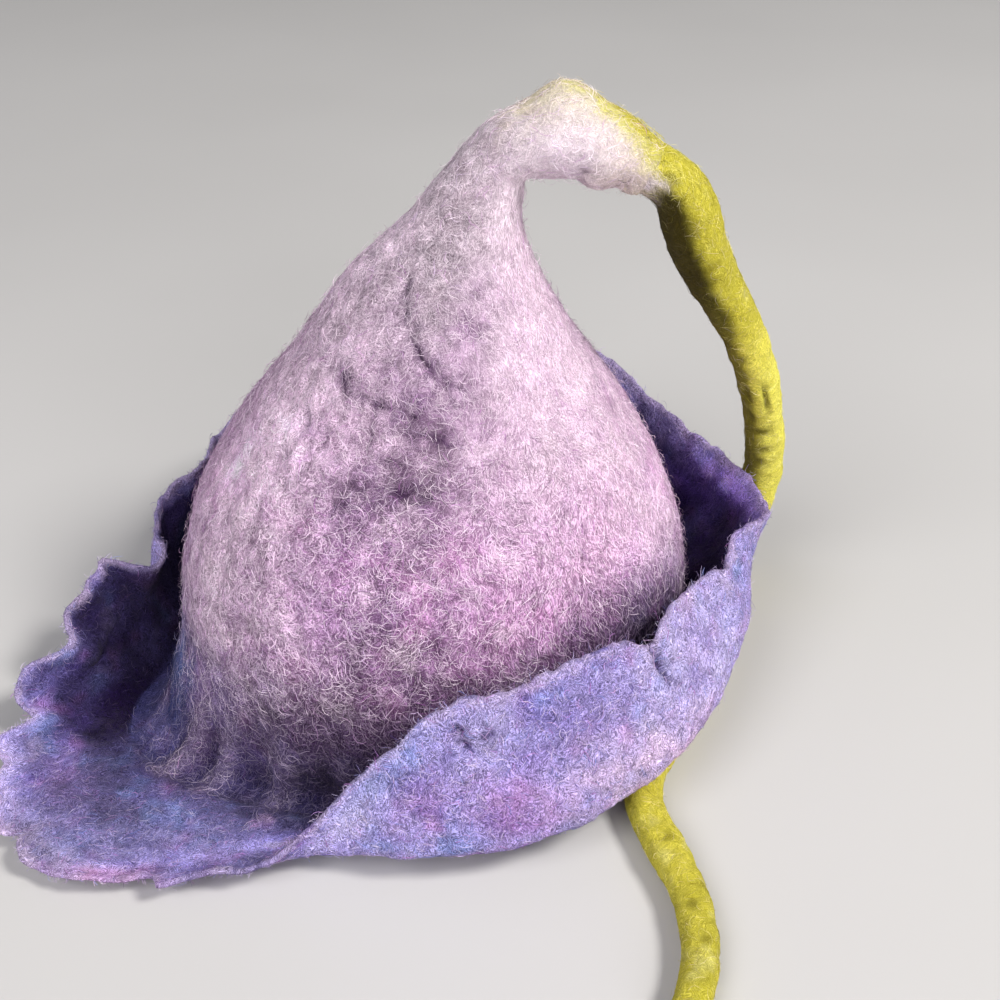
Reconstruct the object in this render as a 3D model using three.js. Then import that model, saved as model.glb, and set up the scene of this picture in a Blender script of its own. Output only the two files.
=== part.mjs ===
// Felt fairy hat in the shape of a drooping bell flower, in millimetres, +Z up, resting on z = 0.
// Two pieces: the felted body (crown, bent peak and turned-up brim in one seamless wall)
// and the felted stem that grows out of the end of the peak and is laid round the brim.
import * as THREE from "three";

// ---- Driving sizes -------------------------------------------------------------------------
const FELT = 3.0; // wall thickness of the felt
const AXIS_X = 11.44; // axis of the head opening, from the middle of the body's footprint
const AXIS_Y = -2.93;
const RING_INNER = 96.2; // flattened fold that the hat stands on: middle of the wall, from ...
const RING_OUTER = 99.8; // ... to
const GAP = 0.3; // between the end of the peak and the stem
const COLUMNS = 72; // columns round the brim and the lower crown, half as many in the peak
const GATHER = 0.36; // how strongly the columns crowd together ...
const GATHER_AZ = 198; // ... towards this azimuth, where the edge is most uneven
const STEM_SIDES = 10;
const STEM_STEPS = 72;

// Crown sections from the head opening to the end of the peak, outside of the felt:
// centre along x and z, half widths along x and y, and how far the section leans towards +X.
const CROWN = [
  //  x      z      rx     ry    lean
  [-0.1, 6.0, 95.0, 95.0, 0],
  [0.2, 22.0, 101.0, 101.0, 0],
  [1.5, 45.0, 101.8, 101.8, 0],
  [2.0, 70.0, 97.8, 97.8, 0],
  [2.0, 95.0, 88.3, 88.3, 0],
  [3.5, 120.0, 73.0, 73.0, 0],
  [5.3, 145.0, 55.0, 55.0, 0],
  [8.5, 168.0, 39.3, 39.3, 4],
  [15.0, 188.0, 24.8, 25.5, 13],
  [20.6, 204.0, 16.4, 17.5, 24],
  [27.6, 217.0, 12.3, 14.0, 44],
  [37.0, 225.0, 13.2, 14.5, 67],
  [47.6, 227.6, 15.3, 15.8, 88],
  [58.5, 225.3, 14.6, 15.2, 104],
  [69.0, 221.2, 12.0, 12.6, 112],
  [79.0, 216.6, 9.6, 9.8, 118],
];

// The turned-up brim by azimuth, middle of the wall: radius and height of the trough beside
// the crown, and of the belly where the wall turns up.
const BOWL = [
  // az  trough    belly
  [0, 107, 19, 127, 37],
  [10, 107, 19, 130, 38],
  [20, 107, 19, 130, 38],
  [35, 107, 19, 127, 38],
  [60, 107, 16, 124, 40],
  [90, 106, 12, 122, 40],
  [120, 105, 10, 120, 36],
  [156, 105, 9, 116, 34],
  [169, 105, 9, 118, 31],
  [180, 110, 7, 121, 25],
  [188, 119, 6, 129, 19],
  [193, 125, 5, 134, 14],
  [198, 131, 4, 141, 7],
  [205, 135, 4, 149, 6],
  [213, 134, 4.5, 153, 5.5],
  [221, 129, 4, 152, 5],
  [229, 123, 4, 146, 5],
  [237, 118, 4, 138, 5],
  [245, 114, 4, 130, 6],
  [252, 111, 5, 127, 9],
  [259, 110, 6, 126, 13],
  [268, 110, 7, 127, 16],
  [278, 110, 9, 128, 18],
  [299, 108, 14, 129, 22],
  [313, 105.6, 18, 129, 27],
  [325, 105.4, 19, 131, 30],
  [338, 105.6, 19, 130, 33],
  [350, 106.4, 19, 128, 36],
];

// The rim by azimuth, middle of the wall: radius and height. It climbs and dips in lobes,
// stands close to the crown in front and lies spread out as a petal at the front left.
const RIM = [
  // az   r    z
  [0, 136, 58],
  [8, 141, 58],
  [20, 142, 60],
  [32, 138, 62],
  [45, 138, 68],
  [60, 144, 79],
  [75, 140, 78],
  [92, 141, 83],
  [120, 131, 76],
  [140, 120, 68],
  [156, 113, 66],
  [166, 121, 59],
  [172, 121, 54],
  [176, 114, 50],
  [180, 133, 49],
  [185, 141, 44],
  [189, 149, 38],
  [192, 147, 33],
  [195, 166, 26],
  [199, 171, 19],
  [204, 178, 14],
  [213, 185, 10],
  [221, 187, 8],
  [229, 177, 8],
  [237, 161, 9],
  [245, 144, 12],
  [252, 131, 21],
  [259, 120, 39],
  [267, 117, 57],
  [275, 116, 73],
  [288, 113, 74],
  [299, 110, 77],
  [310, 112, 74],
  [316, 113, 68],
  [321, 112, 72],
  [337, 111, 70],
  [350, 120, 62],
];

// Where the foot of the crown spreads outwards into the brim, by azimuth: how far.
const FLARE_HEIGHT = 44; // it fades out at this height
const FLARE = [
  // az  out
  [0, 0],
  [150, 0],
  [170, 2],
  [180, 6],
  [188, 14],
  [196, 24],
  [204, 30],
  [212, 29],
  [220, 24],
  [229, 17],
  [238, 11],
  [247, 6],
  [256, 2],
  [266, 0],
  [300, 0],
  [330, 0],
];

// Dents pressed into the crown: azimuth and height of the middle, half widths in degrees and
// millimetres, depth.
const DENTS = [
  // az    z   half   half  depth
  [226, 24, 4, 22, 3.0],
  [237, 22, 4, 20, 3.0],
  [249, 26, 5, 20, 2.5],
  [258, 128, 14, 12, 2.5],
  [205, 112, 22, 16, 2.0],
  [300, 62, 30, 26, 1.5],
];

// Middle of the stem from the end of the peak to its free end, and its radius.
const STEM = [
  //  x     y      z      r
  [86.3, 0.0, 212.72, 10.2],
  [91.6, 0.8, 206.6, 10.5],
  [97.0, 3.0, 190.5, 10.6],
  [104.2, 7.3, 174.0, 9.8],
  [115.3, 13.6, 154.7, 8.7],
  [125.5, 22.0, 133.3, 8.3],
  [133.6, 32.0, 109.5, 8.2],
  [139.6, 43.0, 84.0, 8.2],
  [143.2, 53.0, 60.5, 8.2],
  [142.8, 59.0, 39.0, 8.1],
  [136.5, 59.5, 21.0, 8.0],
  [126.5, 49.5, 10.6, 7.8],
  [119.5, 31.0, 7.9, 7.7],
  [115.6, 9.0, 7.8, 7.6],
  [111.8, -14.0, 7.8, 7.6],
  [105.2, -38.0, 7.7, 7.5],
  [94.6, -59.5, 7.6, 7.4],
  [83.4, -79.5, 7.5, 7.3],
  [81.8, -98.0, 7.4, 7.2],
  [87.0, -117.0, 7.2, 7.0],
  [93.0, -137.0, 6.9, 6.7],
  [94.5, -157.0, 6.6, 6.4],
  [90.0, -179.0, 6.3, 6.1],
  [82.5, -196.0, 6.2, 6.0],
];

const FELT_PINK = 0xd9b0dc;
const STEM_GREEN = 0xb8ac2c;

// ---- Curves through the tables -------------------------------------------------------------
const rad = (deg) => (deg * Math.PI) / 180;

// A smooth curve through rows of numbers at rising knots.
function through(knots, rows, at) {
  const last = knots.length - 1;
  let i = 0;
  while (i < last - 1 && at > knots[i + 1]) i++;
  const h = knots[i + 1] - knots[i];
  const s = (at - knots[i]) / h;
  const slope = (k, c) => {
    const a = Math.max(k - 1, 0);
    const b = Math.min(k + 1, last);
    return (rows[b][c] - rows[a][c]) / (knots[b] - knots[a]);
  };
  return rows[i].map((_, c) => {
    const p = rows[i][c];
    const q = rows[i + 1][c];
    const m = slope(i, c) * h;
    const n = slope(i + 1, c) * h;
    return (
      p * (1 - s) ** 2 * (1 + 2 * s) +
      q * s * s * (3 - 2 * s) +
      m * s * (1 - s) ** 2 -
      n * s * s * (1 - s)
    );
  });
}

// The same, closed round 360 degrees, through rows that begin with an azimuth.
function closedThrough(table) {
  const shifted = (rows, by) => rows.map((r) => [r[0] + by, ...r.slice(1)]);
  const round = [
    ...shifted(table.slice(-3), -360),
    ...table,
    ...shifted(table.slice(0, 3), 360),
  ];
  const knots = round.map((r) => r[0]);
  const values = round.map((r) => r.slice(1));
  return (az) => through(knots, values, ((az % 360) + 360) % 360);
}
const bowlAt = closedThrough(BOWL);
const rimAt = closedThrough(RIM);
const spread = closedThrough(FLARE);
const flareAt = (az) => Math.max(0, spread(az)[0]);

const turn = (a, b) => ((((a - b + 180) % 360) + 360) % 360) - 180;
const hump = (x, half) =>
  Math.abs(x) < half ? Math.cos((Math.PI / 2) * (x / half)) ** 2 : 0;

// ---- Middle surface of the felt --------------------------------------------------------------
const CROWN_KNOTS = CROWN.map((_, i) => i);
const TOP = CROWN.length - 1;

// On the crown, u runs from 0 at the head opening to TOP at the end of the peak.
function crownPoint(u, az) {
  const [x, z, rx, ry, lean] = through(CROWN_KNOTS, CROWN, u);
  const a = rad(az);
  const t = rad(lean);
  let dent = 0;
  for (const [daz, dz, ha, hz, depth] of DENTS)
    dent += depth * hump(turn(az, daz), 2 * ha) * hump(z - dz, 2 * hz);
  const low = Math.max(0, 1 - z / FLARE_HEIGHT);
  const flare = z < FLARE_HEIGHT ? flareAt(az) * low * low : 0;
  const along = rx - FELT / 2 - dent + flare;
  const across = ry - FELT / 2 - dent + flare;
  return new THREE.Vector3(
    x + along * Math.cos(a) * Math.cos(t),
    across * Math.sin(a),
    z - along * Math.cos(a) * Math.sin(t),
  );
}

// On the brim, s runs from 0 at the fold to 1 at the rim.
function brimPoint(s, az) {
  const [tr, tz, br, bz] = bowlAt(az);
  const rows = [
    [RING_OUTER + flareAt(az), FELT / 2],
    [tr, tz],
    [br, bz],
    rimAt(az),
  ];
  const knots = [0];
  for (let i = 1; i < rows.length; i++)
    knots.push(
      knots[i - 1] +
        Math.hypot(rows[i][0] - rows[i - 1][0], rows[i][1] - rows[i - 1][1]),
    );
  const [r, z] = through(knots, rows, s * knots[3]);
  return new THREE.Vector3(
    r * Math.cos(rad(az)),
    r * Math.sin(rad(az)),
    Math.max(z, FELT / 2),
  );
}

// The flat fold follows the spread foot.
const ringPoint = (r, az) => {
  const at = r + flareAt(az);
  return new THREE.Vector3(
    at * Math.cos(rad(az)),
    at * Math.sin(rad(az)),
    FELT / 2,
  );
};

// Direction from the middle of the wall to its upper side, by small steps on the surface.
function normalOf(point, v, az, vMin, vMax) {
  const dv = 0.02;
  const alongPath = point(Math.min(v + dv, vMax), az).sub(
    point(Math.max(v - dv, vMin), az),
  );
  const round = point(v, az + 0.5).sub(point(v, az - 0.5));
  return round.cross(alongPath).normalize();
}

// ---- Rows of the wall, from the end of the peak to the rim -----------------------------------
// Each row holds a middle point and the direction of its upper side for every column.
const columnAz = (k, n) => {
  const a = (360 * k) / n;
  return a - ((GATHER * 180) / Math.PI) * Math.sin(rad(a - GATHER_AZ));
};
const fullRow = (n) => Array.from({ length: n }, (_, k) => columnAz(k, n));

const tipRow = CROWN[TOP];
const tipAxis = new THREE.Vector3(
  Math.sin(rad(tipRow[4])),
  0,
  Math.cos(rad(tipRow[4])),
);
const tipCentre = new THREE.Vector3(tipRow[0], 0, tipRow[1]);

const rows = [];
const addCrownRow = (u, n) =>
  rows.push(
    fullRow(n).map((az) => ({
      at: crownPoint(u, az),
      up: normalOf(crownPoint, u, az, 0, TOP),
    })),
  );
// The closed end of the peak, a flat disc across the last section.
rows.push(
  fullRow(COLUMNS / 2).map((az) => {
    const edge = crownPoint(TOP, az);
    return {
      at: edge.lerp(tipCentre, 0.45).addScaledVector(tipAxis, -FELT / 2),
      up: tipAxis.clone(),
    };
  }),
);
rows.push(
  fullRow(COLUMNS / 2).map((az) => {
    const side = normalOf(crownPoint, TOP, az, 0, TOP);
    const up = side.add(tipAxis).normalize();
    return {
      at: crownPoint(TOP, az).addScaledVector(tipAxis, -FELT / 2),
      up: up.multiplyScalar(1.3),
    };
  }),
);
for (let u = TOP - 0.75; u > 6.4; u -= 0.75) addCrownRow(u, COLUMNS / 2);
for (const u of [6, 5.3, 4.6, 4, 3.4, 2.8, 2.2, 1.6, 1, 0.5, 0])
  addCrownRow(u, COLUMNS);
for (const r of [RING_INNER, RING_OUTER])
  rows.push(
    fullRow(COLUMNS).map((az) => ({
      at: ringPoint(r, az),
      up: new THREE.Vector3(0, 0, 1),
    })),
  );
for (const s of [0.1, 0.22, 0.34, 0.46, 0.58, 0.7, 0.8, 0.9, 1])
  rows.push(
    fullRow(COLUMNS).map((az) => ({
      at: brimPoint(s, az),
      up: normalOf(brimPoint, s, az, 0, 1).negate(), // the path runs outwards here
    })),
  );

// ---- Closed wall of the body -------------------------------------------------------------------
function feltBody() {
  const points = [];
  const faces = [];
  const put = (p) => points.push(p) - 1;
  // Two neighbouring rows of one skin; a row may have half as many columns as the next.
  const strip = (a, b, flip) => {
    const tri = (i, j, k) => faces.push(flip ? [i, k, j] : [i, j, k]);
    const n = b.length;
    for (let k = 0; k < n; k++) {
      const m = (k + 1) % n;
      if (a.length === n) {
        tri(a[k], b[k], b[m]);
        tri(a[k], b[m], a[m]);
      } else {
        const p = a[Math.floor(k / 2)];
        const q = a[(Math.floor(k / 2) + 1) % a.length];
        tri(p, b[k], b[m]);
        if (k % 2) tri(p, b[m], q);
      }
    }
  };
  const skin = (side, pole, flip) => {
    const ids = rows.map((row) =>
      row.map(({ at, up }) =>
        put(at.clone().addScaledVector(up, (side * FELT) / 2)),
      ),
    );
    const top = put(pole);
    ids[0].forEach((id, k) => {
      const next = ids[0][(k + 1) % ids[0].length];
      faces.push(flip ? [top, next, id] : [top, id, next]);
    });
    for (let i = 0; i + 1 < ids.length; i++) strip(ids[i], ids[i + 1], flip);
    return ids[ids.length - 1];
  };
  const upper = skin(1, tipCentre.clone(), false);
  const under = skin(-1, tipCentre.clone().addScaledVector(tipAxis, -FELT), true);
  // The rounded edge of the rim.
  const edge = fullRow(COLUMNS).map((az) => {
    const out = brimPoint(1, az).sub(brimPoint(0.97, az)).normalize();
    return put(brimPoint(1, az).addScaledVector(out, FELT * 0.4));
  });
  strip(upper, edge, false);
  strip(edge, under, false);
  return closed(points, faces);
}

// ---- Stem ----------------------------------------------------------------------------------------
function stemTube() {
  const start = tipCentre.clone().addScaledVector(tipAxis, GAP);
  const middle = [
    start,
    ...STEM.map(([x, y, z]) => new THREE.Vector3(x, y, z)),
  ];
  const radii = [tipRow[3], ...STEM.map((r) => r[3])];
  const curve = new THREE.CatmullRomCurve3(middle, false, "centripetal");
  const frames = curve.computeFrenetFrames(STEM_STEPS, false);
  const knots = radii.map((_, i) => i);
  const radiusAt = (t) =>
    through(
      knots,
      radii.map((r) => [r]),
      t * (radii.length - 1),
    )[0];
  const points = [];
  const faces = [];
  const rings = [];
  const ring = (centre, n, b, r) => {
    const ids = [];
    for (let k = 0; k < STEM_SIDES; k++) {
      const a = (2 * Math.PI * k) / STEM_SIDES;
      ids.push(
        points.push(
          centre
            .clone()
            .addScaledVector(n, r * Math.cos(a))
            .addScaledVector(b, r * Math.sin(a)),
        ) - 1,
      );
    }
    rings.push(ids);
  };
  for (let i = 0; i <= STEM_STEPS; i++) {
    const t = curve.getUtoTmapping(i / STEM_STEPS);
    ring(curve.getPoint(t), frames.normals[i], frames.binormals[i], radiusAt(t));
  }
  // The free end is rounded off.
  const end = middle[middle.length - 1];
  const onward = frames.tangents[STEM_STEPS];
  const endRadius = radii[radii.length - 1];
  for (const [share, ahead] of [
    [0.8, 0.45],
    [0.42, 0.75],
  ])
    ring(
      end.clone().addScaledVector(onward, ahead * endRadius),
      frames.normals[STEM_STEPS],
      frames.binormals[STEM_STEPS],
      share * endRadius,
    );
  for (let i = 0; i + 1 < rings.length; i++)
    for (let k = 0; k < STEM_SIDES; k++) {
      const m = (k + 1) % STEM_SIDES;
      faces.push([rings[i][k], rings[i][m], rings[i + 1][m]]);
      faces.push([rings[i][k], rings[i + 1][m], rings[i + 1][k]]);
    }
  const cap = (ids, centre, first) => {
    const c = points.push(centre) - 1;
    ids.forEach((id, k) => {
      const next = ids[(k + 1) % ids.length];
      faces.push(first ? [c, next, id] : [c, id, next]);
    });
  };
  cap(rings[0], start.clone(), true);
  cap(
    rings[rings.length - 1],
    end.clone().addScaledVector(onward, 0.85 * endRadius),
    false,
  );
  return closed(points, faces);
}

// A closed surface with its faces turned outwards, moved to the part's frame.
function closed(points, faces) {
  let volume = 0;
  for (const [a, b, c] of faces)
    volume += points[a].dot(points[b].clone().cross(points[c]));
  const geometry = new THREE.BufferGeometry();
  geometry.setAttribute(
    "position",
    new THREE.Float32BufferAttribute(
      points.flatMap((p) => [p.x, p.y, p.z]),
      3,
    ),
  );
  geometry.setIndex(
    faces.flatMap(([a, b, c]) => (volume > 0 ? [a, b, c] : [a, c, b])),
  );
  geometry.translate(AXIS_X, AXIS_Y, 0);
  geometry.computeVertexNormals();
  return geometry;
}

// ---- Pieces ----------------------------------------------------------------------------------------
const hat = new THREE.Group();
hat.name = "felt_fairy_hat";
const piece = (name, geometry, color) => {
  const mesh = new THREE.Mesh(
    geometry,
    new THREE.MeshStandardMaterial({ color, roughness: 0.95, metalness: 0 }),
  );
  mesh.name = name;
  hat.add(mesh);
};
piece("hat_body", feltBody(), FELT_PINK);
piece("stem", stemTube(), STEM_GREEN);

export default hat;
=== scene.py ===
import math

import bpy
import numpy as np
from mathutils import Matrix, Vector


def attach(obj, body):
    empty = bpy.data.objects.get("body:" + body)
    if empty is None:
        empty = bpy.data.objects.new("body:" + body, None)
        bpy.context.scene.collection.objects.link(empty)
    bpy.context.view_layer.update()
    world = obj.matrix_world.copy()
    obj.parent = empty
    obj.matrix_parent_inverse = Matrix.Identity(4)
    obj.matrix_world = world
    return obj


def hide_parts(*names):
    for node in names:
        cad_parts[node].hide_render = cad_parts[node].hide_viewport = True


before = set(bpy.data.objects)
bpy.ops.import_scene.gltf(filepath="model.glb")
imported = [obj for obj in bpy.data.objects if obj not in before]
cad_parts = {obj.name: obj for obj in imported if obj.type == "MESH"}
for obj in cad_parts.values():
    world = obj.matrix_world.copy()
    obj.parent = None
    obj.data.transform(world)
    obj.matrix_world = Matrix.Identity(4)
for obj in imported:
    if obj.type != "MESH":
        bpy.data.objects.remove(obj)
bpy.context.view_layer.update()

scene = bpy.context.scene

# ---- Sizes and tables ------------------------------------------------------------------------
AXIS = np.array([11.44, -2.93, 0.0])
FELT = 3.0
RING_INNER, RING_OUTER = 96.2, 99.8
GATHER, GATHER_AZ = 0.36, 198.0
COLUMNS = 360

# Crown sections: centre x and z, half widths along x and y, lean.
CROWN = np.array([
    [-0.1, 6.0, 95.0, 95.0, 0],
    [0.2, 22.0, 101.0, 101.0, 0],
    [1.5, 45.0, 101.8, 101.8, 0],
    [2.0, 70.0, 97.8, 97.8, 0],
    [2.0, 95.0, 88.3, 88.3, 0],
    [3.5, 120.0, 73.0, 73.0, 0],
    [5.3, 145.0, 55.0, 55.0, 0],
    [8.5, 168.0, 39.3, 39.3, 4],
    [15.0, 188.0, 24.8, 25.5, 13],
    [20.6, 204.0, 16.4, 17.5, 24],
    [27.6, 217.0, 12.3, 14.0, 44],
    [37.0, 225.0, 13.2, 14.5, 67],
    [47.6, 227.6, 15.3, 15.8, 88],
    [58.5, 225.3, 14.6, 15.2, 104],
    [69.0, 221.2, 12.0, 12.6, 112],
    [79.0, 216.6, 9.6, 9.8, 118],
])
TOP = len(CROWN) - 1

# Brim by azimuth: trough radius and height, belly radius and height.
BOWL = np.array([
    [0, 107, 19, 127, 37], [10, 107, 19, 130, 38], [20, 107, 19, 130, 38], [35, 107, 19, 127, 38],
    [60, 107, 16, 124, 40], [90, 106, 12, 122, 40], [120, 105, 10, 120, 36], [156, 105, 9, 116, 34],
    [169, 105, 9, 118, 31], [180, 110, 7, 121, 25], [188, 119, 6, 129, 19], [193, 125, 5, 134, 14],
    [198, 131, 4, 141, 7], [205, 135, 4, 149, 6], [213, 134, 4.5, 153, 5.5], [221, 129, 4, 152, 5],
    [229, 123, 4, 146, 5], [237, 118, 4, 138, 5], [245, 114, 4, 130, 6], [252, 111, 5, 127, 9],
    [259, 110, 6, 126, 13], [268, 110, 7, 127, 16], [278, 110, 9, 128, 18], [299, 108, 14, 129, 22],
    [313, 105.6, 18, 129, 27], [325, 105.4, 19, 127, 30], [338, 105.6, 19, 126.5, 33], [350, 106.4, 19, 129, 39],
], float)

# How far the foot of the crown spreads outwards into the brim, by azimuth.
FLARE_HEIGHT = 44.0
FLARE = np.array([
    [0, 0], [150, 0], [170, 2], [180, 6], [188, 14], [196, 24], [204, 30], [212, 29], [220, 24],
    [229, 17], [238, 11], [247, 6], [256, 2], [266, 0], [300, 0], [330, 0],
], float)

# Rim by azimuth: radius and height, with the small lobes and notches of the spread side.
RIM = np.array([
    [0, 132, 67], [4, 137.5, 63], [8, 141, 59.5], [20, 142, 60], [32, 138, 62], [45, 138, 68], [60, 144, 79], [75, 140, 78],
    [92, 141, 83], [120, 131, 76], [140, 120, 68], [153, 112, 66.5], [159.5, 110, 64.5], [163, 115.5, 62],
    [166.5, 119, 58.8], [170.8, 118, 55.2], [174.5, 115.3, 51.5], [176.6, 112.4, 49.6], [178.0, 113.5, 44.5], [179.2, 118.5, 42],
    [180.1, 127, 46.5], [181.0, 133.5, 49.6], [182.6, 136, 46.8], [184.4, 140, 45], [186, 140.6, 42.6], [187.6, 145, 40.6],
    [189, 148.5, 39], [190.4, 148, 35.8], [191.8, 146.2, 33], [193.2, 149, 30], [194.2, 155.5, 28.6],
    [195.1, 162.5, 27.5], [196.2, 166.5, 24.5], [197.6, 168.6, 21.6], [199, 167.6, 18.8], [200.3, 165, 17],
    [201.4, 163.8, 15.6], [202.2, 170, 15.8], [203.2, 177.5, 15.6], [205, 179, 13.6], [206.4, 177.6, 12.4],
    [208.5, 181.5, 12.2], [212, 184.5, 10.6], [215, 187.3, 9.6], [216.8, 187.2, 8.8], [218, 182.8, 8],
    [219.4, 186.4, 8.4], [221.5, 186.4, 8.4], [224, 183, 7.6], [227, 180.4, 8.2], [229.4, 174, 8.6],
    [231.8, 167.6, 8], [234.2, 161.8, 8.2], [236, 161.8, 9], [237.4, 163, 9.6], [238.2, 158, 9],
    [239.2, 154, 9.2], [242, 149.8, 10.6], [245.3, 144.2, 12.4], [252, 131, 21], [259, 120, 39],
    [267, 117, 57], [275, 116, 73], [288, 113, 74], [299, 110, 77], [310, 112, 75], [314.5, 113.5, 69],
    [317, 113.5, 67.5], [320, 111.5, 73], [328, 111, 72], [337, 111, 70], [341, 114, 68.5], [345.5, 118, 65.5],
    [350, 119.5, 64.5], [355.3, 123.5, 69.5],
], float)

# Dents and gathers of the crown: azimuth, height, half widths in degrees and millimetres, depth.
DENTS = np.array([
    [229.5, 22, 3.2, 20, 1.2],
    [234, 16, 3.4, 18, 2.6],
    [249, 26, 5, 20, 2.5],
    [258, 128, 14, 12, 2.5],
    [205, 112, 22, 16, 2.0],
    [300, 62, 30, 26, 1.5],
])

# Painted shade: the crown is darkened below this height towards the brim, where the brim shades it: azimuth, height.
SHADE_LINE = np.array([
    [0, 58], [60, 56], [120, 54], [170, 46], [195, 34], [210, 30], [225, 43], [240, 53], [250, 61], [265, 71],
    [281, 79], [299, 91], [313, 96.5], [323, 95], [335, 86], [345, 70],
], float)

# Small gathers and pits that the felt shows besides: same columns.
GATHERS = np.array([
    [212.4, 10, 1.6, 8, 0.5],
    [221, 8, 1.8, 9, 1.8],
    [229.4, 10, 1.5, 9, 1.0],
    [233.4, 9, 2.4, 12, 2.0],
    [243.5, 14, 2.0, 11, 1.0],
    [248.4, 16, 2.4, 13, 1.6],
    [258, 18, 2.4, 13, 1.2],
    [271, 140, 3.5, 4, 1.3],
    [222, 139, 4.0, 4, 1.1],
    [234, 135, 3.5, 4, 1.0],
    [216, 195, 10, 8, 0.9],
    [246, 118, 6, 5, 1.0],
    [262, 117, 5, 6, 1.2],
    [281, 126, 4, 7, 0.9],
    [268, 96, 4, 8, 0.9],
    [238, 88, 4, 7, 0.9],
    [226, 66, 3, 9, 0.9],
    [252, 70, 3, 9, 0.8],
])

# Ridges of felt that run from the foot of the crown over the fold on to the spread brim: azimuth,
# half width and how far they fill the corner.
RIDGES = np.array([
    [216.8, 1.7, 0.40],
    [225.6, 1.6, 0.34],
    [238.6, 2.4, 0.18],
])

# Creases of the crown: line, azimuth, section (0 at the opening, 15 at the end of the peak),
# depth and half width.
CREASES = np.array([
    [0, 234, 7.66, 0.3, 1.3], [0, 236, 7.60, 2.2, 1.5], [0, 238.5, 7.50, 0.6, 1.3], [0, 241.5, 7.40, 0.7, 1.6],
    [0, 249.5, 7.20, 0.8, 1.8], [0, 256, 6.95, 1.4, 1.8], [0, 262.5, 6.75, 2.4, 1.9], [0, 271, 6.55, 1.6, 1.5],
    [0, 280, 6.40, 0.9, 1.4], [0, 285, 6.32, 0.2, 1.4],
    [1, 218, 6.35, 0.9, 1.5], [1, 222, 6.42, 0.3, 1.3], [1, 226, 6.40, 1.4, 1.4], [1, 232.5, 6.20, 1.7, 1.5],
    [1, 236, 6.16, 1.3, 1.4], [1, 242, 6.20, 1.2, 1.4], [1, 249, 6.14, 1.4, 1.5], [1, 256, 6.10, 1.3, 1.5],
    [1, 263.5, 6.05, 1.4, 1.7], [1, 268, 6.02, 0.3, 1.6],
    [2, 221.5, 5.70, 1.2, 1.3], [2, 222.5, 5.55, 0.9, 1.3], [2, 222, 5.42, 0.2, 1.3],
    [3, 234.5, 5.68, 0.2, 1.3], [3, 233, 5.60, 1.1, 1.4], [3, 231.5, 5.50, 0.3, 1.3],
    [4, 246.5, 5.95, 0.2, 1.3], [4, 247, 5.85, 0.9, 1.3], [4, 249, 5.60, 1.1, 1.4], [4, 249.5, 5.50, 0.2, 1.3],
    [5, 254, 5.95, 0.4, 1.5], [5, 257, 5.90, 1.0, 1.6], [5, 264, 5.84, 1.1, 2.0], [5, 272, 5.80, 1.3, 2.8],
    [5, 276.5, 5.75, 1.0, 2.4], [5, 281, 5.72, 0.3, 1.6],
    [6, 244, 5.40, 0.3, 1.5], [6, 248.5, 5.45, 1.3, 1.6], [6, 254, 5.50, 1.2, 1.6], [6, 260, 5.50, 1.2, 1.6],
    [6, 264, 5.45, 0.4, 1.6],
    [7, 240, 5.12, 0.4, 2.6], [7, 246, 5.16, 1.2, 3.0], [7, 252.5, 5.20, 1.2, 3.2], [7, 260, 5.20, 1.5, 3.0],
    [7, 263, 5.14, 1.6, 2.8], [7, 268, 5.15, 1.6, 2.4], [7, 272, 5.12, 0.4, 2.4],
    [8, 240, 4.92, 0.3, 1.4], [8, 243, 4.90, 1.5, 1.5], [8, 247, 4.93, 1.2, 1.5], [8, 250.5, 4.95, 1.4, 1.5],
    [8, 254, 4.97, 0.4, 1.5],
    [9, 345, 12.90, 1.2, 2.4], [9, 318, 12.95, 1.6, 2.6], [9, 297, 12.92, 1.3, 2.6], [9, 280, 12.70, 0.5, 2.2],
    [10, 345, 14.35, 1.0, 2.2], [10, 320, 14.42, 1.2, 2.5], [10, 300, 14.40, 1.0, 2.4], [10, 286, 14.20, 0.4, 2.0],
])

# Waves of the bent peak: section, azimuth (0 underneath, 180 on top), half widths, height.
PEAK_WAVES = np.array([
    [10.40, 0, 0.36, 46, -2.6],
    [12.30, 0, 0.50, 40, -1.4],
    [13.65, 0, 0.45, 40, 1.8],
    [14.80, 0, 0.42, 40, 1.8],
    [11.20, 180, 0.50, 50, -2.4],
    [12.45, 180, 0.55, 40, 2.6],
    [12.95, 180, 0.45, 34, -1.7],
    [15.00, 180, 0.50, 40, -0.9],
])

# Creases of the brim: line, azimuth, place (0 at the fold, 1 at the rim), depth, half width.
BRIM_CREASES = np.array([
    [0, 198.5, 0.84, 0.3, 3.0],
    [0, 200.5, 0.70, 0.9, 3.2],
    [0, 203.5, 0.30, 1.0, 3.6],
    [0, 209, 0.16, 0.7, 3.6],
    [0, 217, 0.14, 0.3, 3.6],
    [1, 276.2, 0.91, -1.2, 1.9],
    [1, 277.4, 0.86, -4.6, 2.3],
    [1, 278.6, 0.80, -2.2, 2.0],
    [2, 280.8, 0.93, 0.6, 1.6],
    [2, 281.4, 0.86, 1.6, 1.6],
    [2, 282.0, 0.80, 0.6, 1.6],
    [3, 316.0, 0.99, -2.6, 1.9],
    [3, 316.8, 0.90, -2.2, 2.0],
    [3, 318.0, 0.78, -0.7, 2.0],
    [4, 186, 0.62, 0.4, 2.4],
    [4, 193, 0.66, 1.4, 2.2],
    [4, 199, 0.72, 1.0, 2.2],
])

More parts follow.
